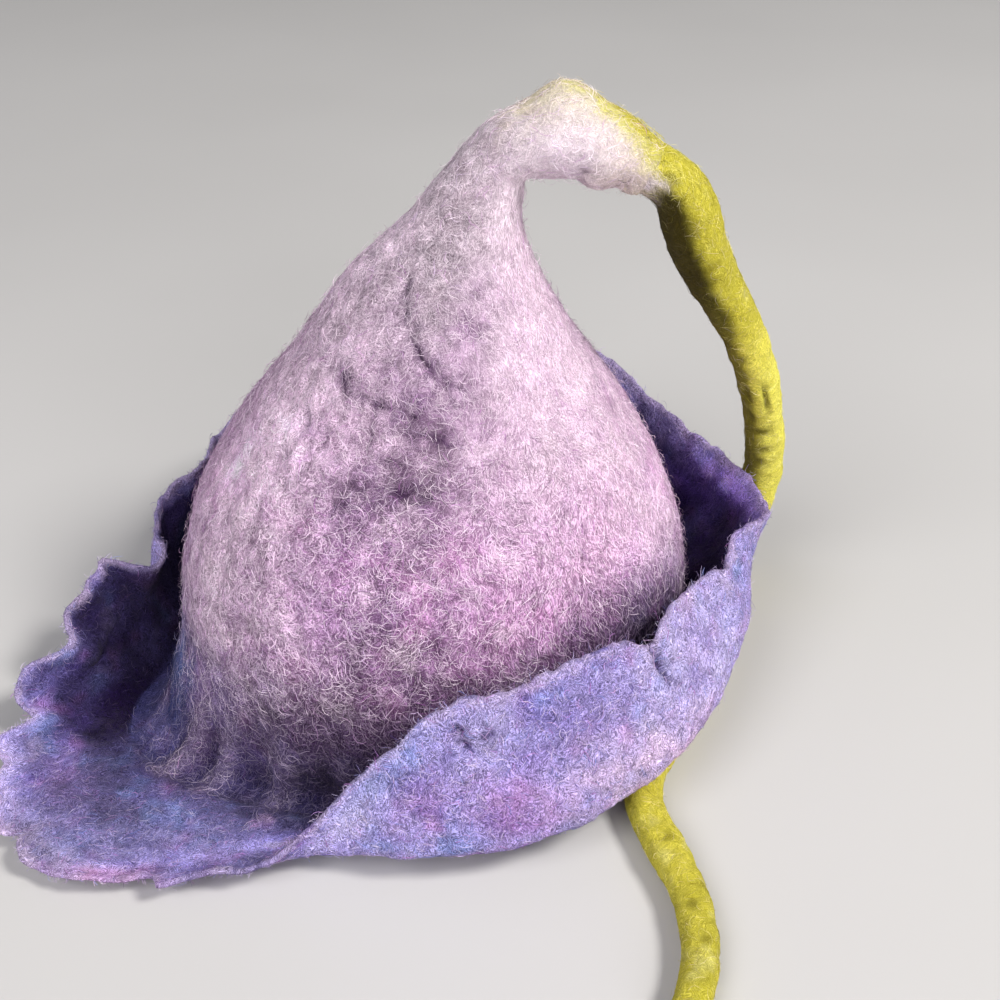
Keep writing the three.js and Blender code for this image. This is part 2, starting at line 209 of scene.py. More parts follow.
# Middle of the stem from the end of the peak to its free end, and its radius.
STEM = np.array([
    [86.3, 0.0, 212.72, 10.2], [91.6, 0.8, 206.6, 10.5], [97.0, 3.0, 190.5, 10.6], [104.2, 7.3, 174.0, 9.8],
    [115.3, 13.6, 154.7, 8.7], [125.5, 22.0, 133.3, 8.3], [133.6, 32.0, 109.5, 8.2], [139.6, 43.0, 84.0, 8.2],
    [143.2, 53.0, 60.5, 8.2], [142.8, 59.0, 39.0, 8.1], [136.5, 59.5, 21.0, 8.0], [126.5, 49.5, 10.6, 7.8],
    [119.5, 31.0, 7.9, 7.7], [115.6, 9.0, 7.8, 7.6], [111.8, -14.0, 7.8, 7.6], [105.2, -38.0, 7.7, 7.5],
    [94.6, -59.5, 7.6, 7.4], [83.4, -79.5, 7.5, 7.3], [81.8, -98.0, 7.4, 7.2], [87.0, -117.0, 7.2, 7.0],
    [93.0, -137.0, 6.9, 6.7], [94.5, -157.0, 6.6, 6.4], [90.0, -179.0, 6.3, 6.1], [82.5, -196.0, 6.2, 6.0],
])


# Grooves and wrinkles of the stem: place along it, angle round it, half widths, depth.
STEM_GROOVES = np.array([
    [6, 172, 2.2, 9, 0.9],
    [123, 177, 7.0, 6, 1.5],
    [121, 231, 5.0, 9, 1.1],
    [136, 232, 3.0, 13, 1.0],
    [146, 205, 2.0, 26, 1.1],
    [158, 202, 2.0, 15, 0.9],
    [168, 214, 2.4, 14, 0.9],
    [96, 214, 2.0, 14, 0.7],
    [418, 236, 2.0, 20, 0.8],
    [447, 250, 2.2, 18, 0.8],
    [462, 224, 1.8, 18, 0.7],
])


# ---- Camera ------------------------------------------------------------------------------------
def make_camera():
    data = bpy.data.cameras.new("photo_camera")
    data.sensor_width = 36.0
    data.lens = 49.46
    data.clip_start, data.clip_end = 0.01, 20.0
    cam = bpy.data.objects.new("photo_camera", data)
    scene.collection.objects.link(cam)
    place, aim = Vector((0.03944, -0.45741, 0.38448)), Vector((0.03944, -0.01316, 0.08483))
    cam.location = place
    cam.rotation_euler = (aim - place).to_track_quat("-Z", "Y").to_euler()
    scene.camera = cam


make_camera()


# ---- Small maths -------------------------------------------------------------------------------
def through(knots, rows, at):
    """A smooth curve through rows of numbers at rising knots."""
    knots, rows = np.asarray(knots, float), np.asarray(rows, float)
    at = np.atleast_1d(np.asarray(at, float))
    last = len(knots) - 1
    k = np.arange(last + 1)
    a, b = np.maximum(k - 1, 0), np.minimum(k + 1, last)
    slope = (rows[b] - rows[a]) / (knots[b] - knots[a])[:, None]
    i = np.clip(np.searchsorted(knots, at, side="right") - 1, 0, last - 1)
    h = (knots[i + 1] - knots[i])[:, None]
    s = ((at - knots[i]) / h[:, 0])[:, None]
    return (
        rows[i] * (1 - s) ** 2 * (1 + 2 * s)
        + rows[i + 1] * s * s * (3 - 2 * s)
        + slope[i] * h * s * (1 - s) ** 2
        - slope[i + 1] * h * s * s * (1 - s)
    )


def closed_through(table, az):
    before, after = table[-3:].copy(), table[:3].copy()
    before[:, 0] -= 360
    after[:, 0] += 360
    whole = np.vstack([before, table, after])
    return through(whole[:, 0], whole[:, 1:], np.mod(az, 360))


def turn(a, b):
    return np.mod(a - b + 180, 360) - 180


def hump(x, half):
    return np.where(np.abs(x) < half, np.cos(np.pi / 2 * np.clip(x / half, -1, 1)) ** 2, 0.0)


def smooth(x, lo, hi):
    t = np.clip((x - lo) / (hi - lo), 0, 1)
    return t * t * (3 - 2 * t)


def unit(v):
    return v / np.maximum(np.linalg.norm(v, axis=-1, keepdims=True), 1e-12)


_lattices = {}


def noise(p, seed):
    """Gradient noise from about -1 to 1, one lattice cell per unit."""
    if seed not in _lattices:
        r = np.random.default_rng(1000 + seed)
        _lattices[seed] = (r.permutation(256), unit(r.normal(size=(256, 3))))
    perm, grads = _lattices[seed]
    cell = np.floor(p).astype(int)
    f = p - cell
    w = f * f * f * (f * (f * 6 - 15) + 10)
    out = np.zeros(p.shape[:-1])
    for corner in np.ndindex(2, 2, 2):
        c = (cell + corner) & 255
        h = perm[(perm[(perm[c[..., 0]] + c[..., 1]) & 255] + c[..., 2]) & 255]
        dot = np.sum(grads[h] * (f - corner), axis=-1)
        for k in range(3):
            dot = dot * (w[..., k] if corner[k] else 1 - w[..., k])
        out += dot
    return out * 1.7


def fbm(p, size, seed, octaves=3, gain=0.5):
    total, amp = 0.0, 1.0
    for k in range(octaves):
        total = total + amp * noise(p / size * 2.0**k + 17.3 * k, seed + k)
        amp *= gain
    return total


# ---- Middle surface of the felt ------------------------------------------------------------------
def flare_at(az):
    return np.maximum(0.0, closed_through(FLARE, az)[:, 0])


def crown(u, az):
    x, z, rx, ry, lean = [c[:, None] for c in through(np.arange(TOP + 1), CROWN, u).T]
    a, t = np.radians(az)[None], np.radians(lean)
    dent = -flare_at(az)[None] * np.clip(1 - z / FLARE_HEIGHT, 0, 1) ** 2
    for table in (DENTS, GATHERS):
        for daz, dz, ha, hz, depth in table:
            dent = dent + depth * hump(turn(az, daz), 2 * ha)[None] * hump(z - dz, 2 * hz)
    along, across = rx - FELT / 2 - dent, ry - FELT / 2 - dent
    return np.stack(
        [x + along * np.cos(a) * np.cos(t), across * np.sin(a) + 0 * x, z - along * np.cos(a) * np.sin(t)], -1
    )


def brim(s, az):
    bowl, rim = closed_through(BOWL, az), closed_through(RIM, az)
    start = np.stack([RING_OUTER + flare_at(az), 0 * az + FELT / 2], -1)
    pts = np.stack([start, bowl[:, :2], bowl[:, 2:], rim], 1)
    d = np.linalg.norm(np.diff(pts, axis=1), axis=2)
    knots = np.concatenate([np.zeros((len(az), 1)), np.cumsum(d, 1)], 1)
    out = np.zeros((len(s), len(az), 2))
    for j in range(len(az)):
        out[:, j] = through(knots[j], pts[j], np.asarray(s) * knots[j, 3])
    a = np.radians(az)[None]
    return np.stack(
        [out[..., 0] * np.cos(a), out[..., 0] * np.sin(a), np.maximum(out[..., 1], FELT / 2)], -1
    )


def fold(t, az):
    """From the foot of the crown round to the flat ring."""
    t = np.asarray(t)[:, None]
    f = flare_at(az)[None]
    foot = (1 - 6.0 / FLARE_HEIGHT) ** 2
    dent = 0.0
    for table in (DENTS, GATHERS):
        for daz, dz, ha, hz, depth in table:
            dent = dent + depth * hump(turn(az, daz), 2 * ha)[None] * hump(np.array([[6.0 - dz]]), 2 * hz)
    r = (1 - t) ** 2 * (93.4 + foot * f - dent) + 2 * t * (1 - t) * (94.0 + 0.907 * f - dent) + t * t * (96.4 + f)
    z = (1 - t) ** 2 * 6.0 + 2 * t * (1 - t) * 1.9 + t * t * 1.5
    ang = np.radians(az)[None]
    return np.stack([r * np.cos(ang), r * np.sin(ang), z + 0 * ang], -1)


base_angle = 360.0 * np.arange(COLUMNS) / COLUMNS
AZ = base_angle - np.degrees(GATHER * np.sin(np.radians(base_angle - GATHER_AZ)))


def even_sections(lo, hi, step):
    """Sections between lo and hi about step apart along the crown."""
    u = np.linspace(lo, hi, 1500)
    line = crown(u, np.array([90.0]))[:, 0]
    cum = np.concatenate([[0], np.cumsum(np.linalg.norm(np.diff(line, axis=0), axis=1))])
    n = max(2, int(round(cum[-1] / step)))
    return np.interp(np.linspace(0, cum[-1], n + 1), cum, u)


PEAK_FROM = 7.0
u_low = even_sections(0.0, PEAK_FROM, 2.0)
u_peak = even_sections(PEAK_FROM, float(TOP), 1.45)
u_rows = np.concatenate([u_peak[::-1], u_low[::-1][1:]])  # from the end of the peak down
PEAK_ROWS = len(u_peak)  # these rows use every second column
fold_rows = np.array([0.33, 0.66, 1.0])
s_rows = np.concatenate([[0.0], np.linspace(0.025, 1.0, 52)])

middle = np.concatenate([crown(u_rows, AZ), fold(fold_rows, AZ), brim(s_rows, AZ)])
N_CROWN, N_FOLD, N_BRIM = len(u_rows), len(fold_rows), len(s_rows)
BRIM_0 = N_CROWN + N_FOLD
ROWS = len(middle)
row_u = np.concatenate([u_rows, np.zeros(N_FOLD), np.zeros(N_BRIM)])[:, None] + 0 * AZ[None]
row_s = np.concatenate([np.zeros(N_CROWN + N_FOLD), s_rows])[:, None] + 0 * AZ[None]
grid_az = np.mod(AZ, 360)[None] + 0 * row_u


def slopes(p):
    down = np.gradient(p, axis=0)
    round_ = (np.roll(p, -1, 1) - np.roll(p, 1, 1)) / 2
    return down, round_


def normals(p):
    down, round_ = slopes(p)
    return unit(np.cross(down, round_))


def crease_field(points, table, surface, lips=0.14):
    """Depth of the creases at grid points, from lines of rows on a surface, and how deep in one each point is."""
    out, inside, beside = [np.zeros(points.shape[:2]) for _ in range(3)]
    specks = smooth(noise(points / 2.7, 133) + 0.6 * noise(points / 6.0, 134), -0.15, 0.75)
    uneven = (0.82 + 0.75 * noise(points / 4.2, 131)).clip(0.12, 1.4)
    points = points + np.stack([1.1 * noise(points / 5.0, 141 + k) + 0.5 * noise(points / 2.4, 151 + k) for k in range(3)], -1)
    wander = 1.0 + 0.35 * noise(points / 3.2, 132)
    for line in np.unique(table[:, 0]):
        rows = table[table[:, 0] == line]
        at = np.array([surface(np.array([r[2]]), np.array([r[1]]))[0, 0] for r in rows])
        best = np.full(points.shape[:2], 1e9)
        depth, width = np.zeros(points.shape[:2]), np.ones(points.shape[:2])
        for k in range(len(at) - 1):
            ab = at[k + 1] - at[k]
            t = np.clip(np.sum((points - at[k]) * ab, -1) / np.sum(ab * ab), 0, 1)
            d = np.linalg.norm(points - (at[k] + t[..., None] * ab), axis=-1)
            near = d < best
            best = np.where(near, d, best)
            depth = np.where(near, rows[k, 3] + t * (rows[k + 1, 3] - rows[k, 3]), depth)
            width = np.where(near, rows[k, 4] + t * (rows[k + 1, 4] - rows[k, 4]), width)
        x = best / (width * wander)
        out += 1.25 * depth * uneven * (np.exp(-x * x) - lips * np.exp(-((x - 2.4) ** 2) / 1.2))
        inside = np.maximum(
            inside, np.clip(np.abs(depth) / 1.6, 0, 1) * uneven * (0.7 * np.exp(-x * x) + 0.3 * np.exp(-((x / 2.6) ** 2)))
        )
        beside = np.maximum(beside, np.clip(np.abs(depth) / 1.3, 0, 1) * np.exp(-((best / 5.5) ** 2)) * specks)
    return out, inside.clip(0, 1), beside


# Wall moved as a whole: lumps, creases, pits and the ragged rim.
n0 = normals(middle)
height = middle[..., 2]
on_crown = (np.arange(ROWS) < N_CROWN)[:, None] & (grid_az >= 0)
soft_at_rest = smooth(height, 2.0, 14.0)
# The front left of the crown is matted and nubbly, the right side combed smooth.
matted = np.exp(-((turn(grid_az, 238) / 52) ** 4)) * smooth(height, 30, 70) * smooth(height, 222, 196) * on_crown
lumpy = np.where(on_crown, 0.32 + 0.95 * matted, 0.75)
move = (0.95 * fbm(middle, 42.0, 1, 2) + lumpy * fbm(middle, 13.0, 5, 2)) * soft_at_rest
peak_end = smooth(row_u, TOP - 0.15, TOP - 1.2)  # the end of the peak meets the stem evenly
move[:N_CROWN] *= peak_end[:N_CROWN]
creased, crease_halo = np.zeros_like(move), np.zeros_like(move)
for part_of, table, surface in ((slice(0, N_CROWN), CREASES, crown), (slice(BRIM_0, ROWS), BRIM_CREASES, brim)):
    depth_of, creased[part_of], crease_halo[part_of] = crease_field(middle[part_of], table, surface)
    move[part_of] -= depth_of
for pu, paz, hu, ha, rise in PEAK_WAVES:
    move[:N_CROWN] += (rise * hump(row_u - pu, 2 * hu) * hump(turn(grid_az, paz), 2 * ha))[:N_CROWN]
wall = middle + n0 * move[..., None]
ridge_top = int(np.argmin(np.abs(middle[:N_CROWN, 0, 2] - 26.0)))
ridge_end = BRIM_0 + int(np.argmin(np.abs(s_rows - 0.12)))
band = wall[ridge_top : ridge_end + 1]
run = np.concatenate([np.zeros((1, COLUMNS)), np.cumsum(np.linalg.norm(np.diff(band, axis=0), axis=-1), 0)])
run = (run / run[-1])[..., None]
corner = 0.50 * wall[N_CROWN + 1] + 0.25 * (band[0] + band[-1])
filled = (1 - run) ** 2 * band[0] + 2 * run * (1 - run) * corner + run**2 * band[-1]
share = np.clip(sum(w * hump(turn(AZ, raz), 2 * ha) for raz, ha, w in RIDGES), 0, 1)
wall[ridge_top : ridge_end + 1] = band + (filled - band) * share[None, :, None]
bare = creased.copy()  # few strands lie in or just beside a crease
for turns in ((1, 0), (-1, 0), (0, 1), (0, -1)):
    bare = np.maximum(bare, 0.9 * np.roll(creased, turns, (0, 1)))

# The rim wanders in and out and curls a little.
a_rad = np.radians(grid_az)
ring_p = np.stack([150 * np.cos(a_rad), 150 * np.sin(a_rad), 0 * a_rad], -1)
out_dir = unit(np.gradient(middle, axis=0))
scallop = 1.5 * noise(ring_p / 11.0, 21) + 1.1 * noise(ring_p / 5.2, 22)
curl = 1.7 * noise(ring_p / 15.0, 23) + 0.8 * noise(ring_p / 6.5, 24)
wall = wall + (out_dir * scallop[..., None] + n0 * curl[..., None]) * (row_s**6)[..., None]
wall[..., 2] = np.maximum(wall[..., 2], FELT / 2)

n1 = normals(wall)
thin = 1 - (0.30 + 0.16 * noise(ring_p / 7.0, 25)) * smooth(row_s, 0.82, 1.0)
half = FELT / 2 * thin
rough = np.where(on_crown, 0.17 + 0.52 * matted + 0.35 * crease_halo, 0.32)
grain = rough * fbm(wall, 5.0, 31, 2) * smooth(wall[..., 2], 2.0, 9.0)
grain[:N_CROWN] *= peak_end[:N_CROWN]
grain_under = 0.30 * fbm(wall + 40.0, 5.0, 35, 2) * smooth(wall[..., 2], 3.0, 9.0)
UPPER = wall + n1 * (half + grain)[..., None]
UNDER = wall - n1 * (half + grain_under)[..., None]
UPPER[..., 2] = np.maximum(UPPER[..., 2], 0.3)
UNDER[..., 2] = np.maximum(UNDER[..., 2], 0.0)
UP_N, UNDER_N = normals(UPPER), -normals(UNDER)


# ---- Colours -------------------------------------------------------------------------------------
def rgb(r, g, b):
    """Linear colour from the usual 0 to 255 numbers."""
    c = np.array([r, g, b], float) / 255
    return np.where(c <= 0.04045, c / 12.92, ((c + 0.055) / 1.055) ** 2.4)


# Crown colour by height.
CROWN_TINT = [
    (0, rgb(84, 80, 148)),
    (14, rgb(98, 86, 146)),
    (34, rgb(132, 104, 154)),
    (55, rgb(162, 122, 170)),
    (76, rgb(190, 144, 192)),
    (104, rgb(204, 160, 202)),
    (150, rgb(213, 181, 208)),
    (190, rgb(227, 203, 221)),
    (235, rgb(234, 220, 228)),
]
PERIWINKLE = rgb(164, 150, 221)
PETAL = rgb(103, 95, 159)
CYAN = rgb(122, 148, 222)
TEAL = rgb(46, 60, 114)
MAGENTA = rgb(188, 116, 194)
VIOLET = rgb(92, 72, 164)
DEEP_VIOLET_AND_SHADE = rgb(25, 3, 57)
PALE = rgb(216, 190, 226)
MAUVE = rgb(138, 92, 142)
PLUM = rgb(104, 66, 116)
ROSE = rgb(214, 142, 204)
BLUSH = rgb(240, 212, 232)
LIME = rgb(216, 204, 62)
LIME_PALE = rgb(232, 224, 124)
OLIVE = rgb(140, 130, 26)
OLIVE_SHADE = rgb(54, 45, 8)
SHADED = rgb(76, 52, 92)
FIBRE_WHITE = rgb(252, 236, 248)
CREAM = rgb(230, 216, 194)

# Patches on the crown: azimuth, height, half widths, strength, colour.
CROWN_PATCHES = [
    (328, 120, 32, 50, 0.85, BLUSH),
    (352, 96, 26, 46, 0.45, BLUSH),
    (334, 156, 26, 26, 0.80, BLUSH),
    (210, 112, 24, 44, 0.95, BLUSH),
    (228, 128, 15, 20, 0.60, BLUSH),
    (224, 106, 14, 24, 0.65, BLUSH),
    (276, 156, 16, 14, 0.40, MAUVE),
    (283, 174, 14, 14, 0.55, MAUVE),
    (276, 130, 12, 14, 0.20, MAUVE),
    (264, 82, 18, 19, 0.80, MAUVE),
    (263, 84, 20, 17, 0.75, PLUM),
    # Painted shade: darker above the front brim on the right.
    (313, 71, 16, 12, 0.45, PLUM),
    (262, 118, 22, 15, 0.63, PLUM),
    (250, 104, 18, 12, 0.75, MAUVE),
    (236, 126, 15, 11, 0.55, MAUVE),
    (268, 144, 13, 8, 0.55, MAUVE),
    (261, 151, 8, 6, 0.70, PLUM),
    (276, 150, 6, 5, 0.45, PLUM),
    (252, 158, 9, 8, 0.55, MAUVE),
    (240, 176, 10, 8, 0.40, MAUVE),
    (226, 94, 15, 13, 0.45, MAUVE),
    (246, 72, 15, 13, 0.45, MAUVE),
    (230, 60, 10, 14, 0.40, PLUM),
    (262, 60, 14, 16, 0.75, MAUVE),
    (256, 66, 16, 14, 0.30, PLUM),
    (280, 104, 9, 15, 0.45, ROSE),
    (314, 104, 18, 18, 0.40, ROSE),
    (302, 80, 22, 14, 0.50, ROSE),
    (286, 74, 12, 14, 0.40, ROSE),
    # Painted shade: the next two rows darken the crown's foot on the right, under the front brim.
    (322, 54, 34, 17, 0.60, PLUM),
    (316, 46, 34, 13, 0.52, SHADED),
    (292, 54, 20, 12, 0.55, PLUM),
    (330, 66, 14, 12, 0.40, PERIWINKLE),
    (216, 66, 24, 24, 0.80, BLUSH),
    (214, 40, 18, 10, 0.30, VIOLET),
    (240, 36, 16, 12, 0.45, PLUM),
    (262, 34, 14, 12, 0.45, PLUM),
    (240, 16, 24, 15, 0.75, rgb(122, 102, 134)),
    (196, 22, 16, 17, 0.85, TEAL),
    (206, 13, 10, 14, 0.80, rgb(62, 70, 126)),
    (202, 30, 8, 9, 0.45, CYAN),
    (218, 16, 5, 12, 0.45, MAUVE),
    (226, 12, 8, 9, 0.30, VIOLET),
    (120, 100, 30, 26, 0.35, ROSE),
    (60, 120, 24, 20, 0.45, MAUVE),
    (30, 70, 24, 18, 0.35, ROSE),
    (160, 70, 26, 22, 0.40, MAUVE),
]
# Patches on the brim: azimuth, place from fold to rim, half widths, strength, colour.
BRIM_PATCHES = [
    (279, 0.72, 8, 0.15, 0.65, rgb(186, 178, 236)),
    (264, 0.90, 7, 0.14, 0.65, CYAN),
    (284, 0.62, 7, 0.12, 0.60, MAGENTA),
    (289, 0.45, 8, 0.12, 0.70, rgb(176, 94, 190)),
    (281, 0.80, 6, 0.10, 0.20, rgb(104, 112, 206)),
    (325, 0.88, 8, 0.12, 0.40, rgb(214, 202, 252)),
    (282, 0.86, 5, 0.10, 0.90, rgb(212, 198, 254)),
    (316, 0.87, 6, 0.12, 0.45, rgb(216, 206, 252)),
    (302, 0.81, 7, 0.12, 0.35, rgb(208, 188, 250)),
    (312, 0.65, 7, 0.12, 0.40, rgb(240, 214, 252)),
    (277, 0.54, 6, 0.12, 0.30, rgb(158, 122, 186)),
    (259, 0.80, 6, 0.14, 0.50, rgb(222, 208, 252)),
    (207, 0.96, 7, 0.15, 0.65, rgb(188, 178, 255)),
    (298, 0.34, 7, 0.10, 0.55, CYAN),
    (306, 0.78, 7, 0.12, 0.45, VIOLET),
    (270, 0.70, 5, 0.14, 0.30, MAGENTA),
    (291, 0.80, 10, 0.20, 0.60, VIOLET),
    (303, 0.50, 14, 0.20, 0.52, PALE),
    (316, 0.46, 16, 0.18, 0.80, rgb(230, 188, 222)),
    (328, 0.80, 7, 0.12, 0.35, MAGENTA),
    (335, 0.70, 14, 0.24, 0.85, rgb(206, 194, 252)),
    (228, 0.62, 9, 0.22, 0.50, CYAN),
    (214, 0.60, 9, 0.22, 0.22, MAGENTA),
    (222, 0.80, 6, 0.16, 0.50, CYAN),
    (232, 0.68, 14, 0.34, 0.95, PERIWINKLE),
    (222, 0.95, 7, 0.12, 0.55, PALE),
    (208, 0.98, 6, 0.10, 0.55, PALE),
    (231, 0.98, 5, 0.09, 0.65, ROSE),
    (213, 0.10, 8, 0.15, 0.75, rgb(56, 54, 108)),
    (90, 0.70, 14, 0.30, 0.45, CYAN),
    (60, 0.60, 12, 0.30, 0.50, MAGENTA),
    (130, 0.60, 14, 0.30, 0.45, MAGENTA),
    (20, 0.55, 14, 0.30, 0.35, VIOLET),
]


def mixed(a, b, w):
    return a + (b - a) * np.asarray(w)[..., None]


# Lighter and darker places of the crown: azimuth, height, half sizes, gain.
CROWN_TONES = np.array([
    [252, 193, 27, 14, -0.23],
    [259, 176, 12, 8, -0.13],
    [219, 187, 13, 14, -0.11],
    [213, 170, 8, 8, -0.12],
    [247, 86, 10, 16, 0.34],
    [252, 107, 10, 10, 0.12],
    [272, 89, 8, 10, 0.17],
    [325, 86, 9, 9, 0.18],
    [300, 75, 9, 8, 0.18],
    [320, 64, 6, 6, -0.22],
    [271, 136, 8, 8, -0.17],
    [237, 44, 8, 8, -0.22],
    [251, 54, 8, 8, -0.22],
    [234, 15, 5, 7, 0.42],
    [198, 113, 8, 14, 0.15],
    [228, 130, 8, 14, 0.14],
    [350, 95, 10, 14, 0.12],
    [308, 132, 9, 10, -0.09],
    [246, 126, 8, 8, 0.13],
    [266, 79, 7, 7, -0.12],
    [273, 184, 10, 8, -0.08],
    [294, 159, 9, 9, -0.07],
    [265, 113, 7, 7, -0.09],
    [248, 24, 6, 6, 0.20],
])
# The same for the spread brim and the inside of the standing brim, by the share of the way to the rim.
PETAL_TONES = np.array([
    [206, 0.95, 7, 0.16, 0.14],
    [213, 0.95, 5, 0.16, 0.16],
    [220, 0.92, 4, 0.12, -0.14],
    [228, 0.92, 5, 0.12, 0.20],
    [237, 0.78, 6, 0.16, 0.25],
    [242, 0.62, 5, 0.14, 0.10],
    [247.5, 0.50, 4.5, 0.16, 0.95],
    [205, 0.56, 5, 0.14, 0.32],
    [20, 0.87, 13, 0.10, 0.82],
    [30, 0.72, 8, 0.10, 0.80],
    [198, 0.80, 4.5, 0.14, 0.45],
    [232, 0.90, 4, 0.12, -0.14],
    [203, 0.49, 4, 0.12, 0.30],
    [162, 0.80, 8, 0.12, 0.70],
    [228, 0.64, 4, 0.10, -0.16],
    [215, 0.60, 5, 0.14, -0.12],
    [222, 0.46, 6, 0.14, -0.24],
    [214, 0.31, 5, 0.12, -0.22],
    [237, 0.14, 5, 0.10, -0.30],
])


def crown_tint(p, az, u):
    z = p[..., 2]
    heights = np.array([h for h, _ in CROWN_TINT], float)
    colours = np.array([c for _, c in CROWN_TINT])
    at = z + 8 * fbm(p, 24.0, 41, 2)
    t = np.stack([np.interp(at, heights, colours[:, k]) for k in range(3)], -1)
    broken = (0.72 + 0.75 * fbm(p, 10.0, 43, 3)).clip(0, 1.35)
    for paz, pz, ha, hz, w, c in CROWN_PATCHES:
        d = (turn(az, paz) / ha) ** 2 + ((z - pz) / hz) ** 2
        t = mixed(t, c, np.clip(w * np.exp(-d) * broken, 0, 1) * (u < 9))
    nubs = np.exp(-((turn(az, 250) / 58) ** 4)) * smooth(z, 20, 50) * smooth(z, 222, 190)
    t = t * (1 + (0.07 + 0.30 * nubs) * fbm(p, 6.5, 44, 3)).clip(0.5, 1.5)[..., None]
    calm = np.exp(-((turn(az, 325) / 50) ** 2))
    t = mixed(t, MAUVE, 0.55 * (1 - 0.6 * calm) * smooth(fbm(p, 15.0, 45), 0.2, 0.95) * smooth(z, 205, 130))
    t = mixed(t, ROSE, 0.38 * smooth(fbm(p, 19.0, 47), 0.3, 0.95) * smooth(z, 190, 90) * smooth(z, 14, 50))
    t = mixed(t, BLUSH, 0.45 * smooth(fbm(p, 11.0, 48), 0.25, 0.95) * smooth(z, 24, 60))
    t = mixed(t, PERIWINKLE, 0.45 * smooth(fbm(p, 19.0, 49), 0.35, 1.0) * smooth(z, 75, 20))
    low = np.exp(-((turn(az, 265) / 17) ** 2) - ((z - 82) / 16) ** 2) * (u < 9)
    pale = np.exp(-((turn(az, 211) / 13) ** 2) - ((z - 116) / 22) ** 2) * (u < 9)
    t = t * (1 - 0.13 * low + 0.07 * pale)[..., None]
    for taz, tz, ha, hz, gain in CROWN_TONES:
        tone = 1 + gain * np.exp(-((turn(az, taz) / ha) ** 2) - ((z - tz) / hz) ** 2) * smooth(u, 9.7, 8.8)
        t = (t * tone[..., None] ** 2.1).clip(0, 1)
    # Painted shade: the crown is darkened below the shade line, where the brim shades its foot.
    line = closed_through(SHADE_LINE, np.asarray(az).ravel())[:, 0].reshape(np.shape(az))
    in_shade = smooth(z + 5 * fbm(p, 9.0, 56, 2), line, line - 25.0) * (u < 9)
    t = mixed(t, t * np.array([0.30, 0.26, 0.36]), 0.85 * in_shade * (1 - 0.5 * np.exp(-((turn(az, 205) / 22) ** 2))))
    # Painted shade: the left slope of the bent peak is darkened.
    shoulder = np.exp(-((turn(az, 222) / 48) ** 2)) * smooth(u, 7.9, 9.0) * smooth(u, 12.2, 10.4)
    t = mixed(t, t * np.array([0.62, 0.58, 0.60]), shoulder * (0.75 + 0.5 * fbm(p, 7.0, 57, 2)).clip(0, 1.1))
    t = mixed(t, CREAM, 0.60 * smooth(u + 0.3 * noise(p / 7.0, 58), 12.6, 14.4))
    along_top = (0.5 - 0.5 * np.cos(np.radians(az))) ** 5 * smooth(u + 0.5 * noise(p / 6.0, 59), 10.3, 11.7)
    t = mixed(t, rgb(214, 206, 136), 0.60 * along_top)
    green, lime = green_share(p, az, u)
    return t + (lime - t) * green[..., None]


def green_share(p, az, u):
    """Green comes in along the top of the bent peak first, underneath only at its end; u runs on along the stem."""
    top_side = (0.5 - 0.5 * np.cos(np.radians(az))) ** 4
    start = 15.1 - 3.0 * top_side + 0.5 * noise(p / 6.0, 51) + 0.4 * noise(p / 2.5, 52)
    lime = mixed(LIME_PALE * 0.9, LIME * 0.9, smooth(u + 0.8 * noise(p / 7.0, 53), start + 0.5, start + 2.0))
    return smooth(u, start - 0.5, start + 1.0), lime


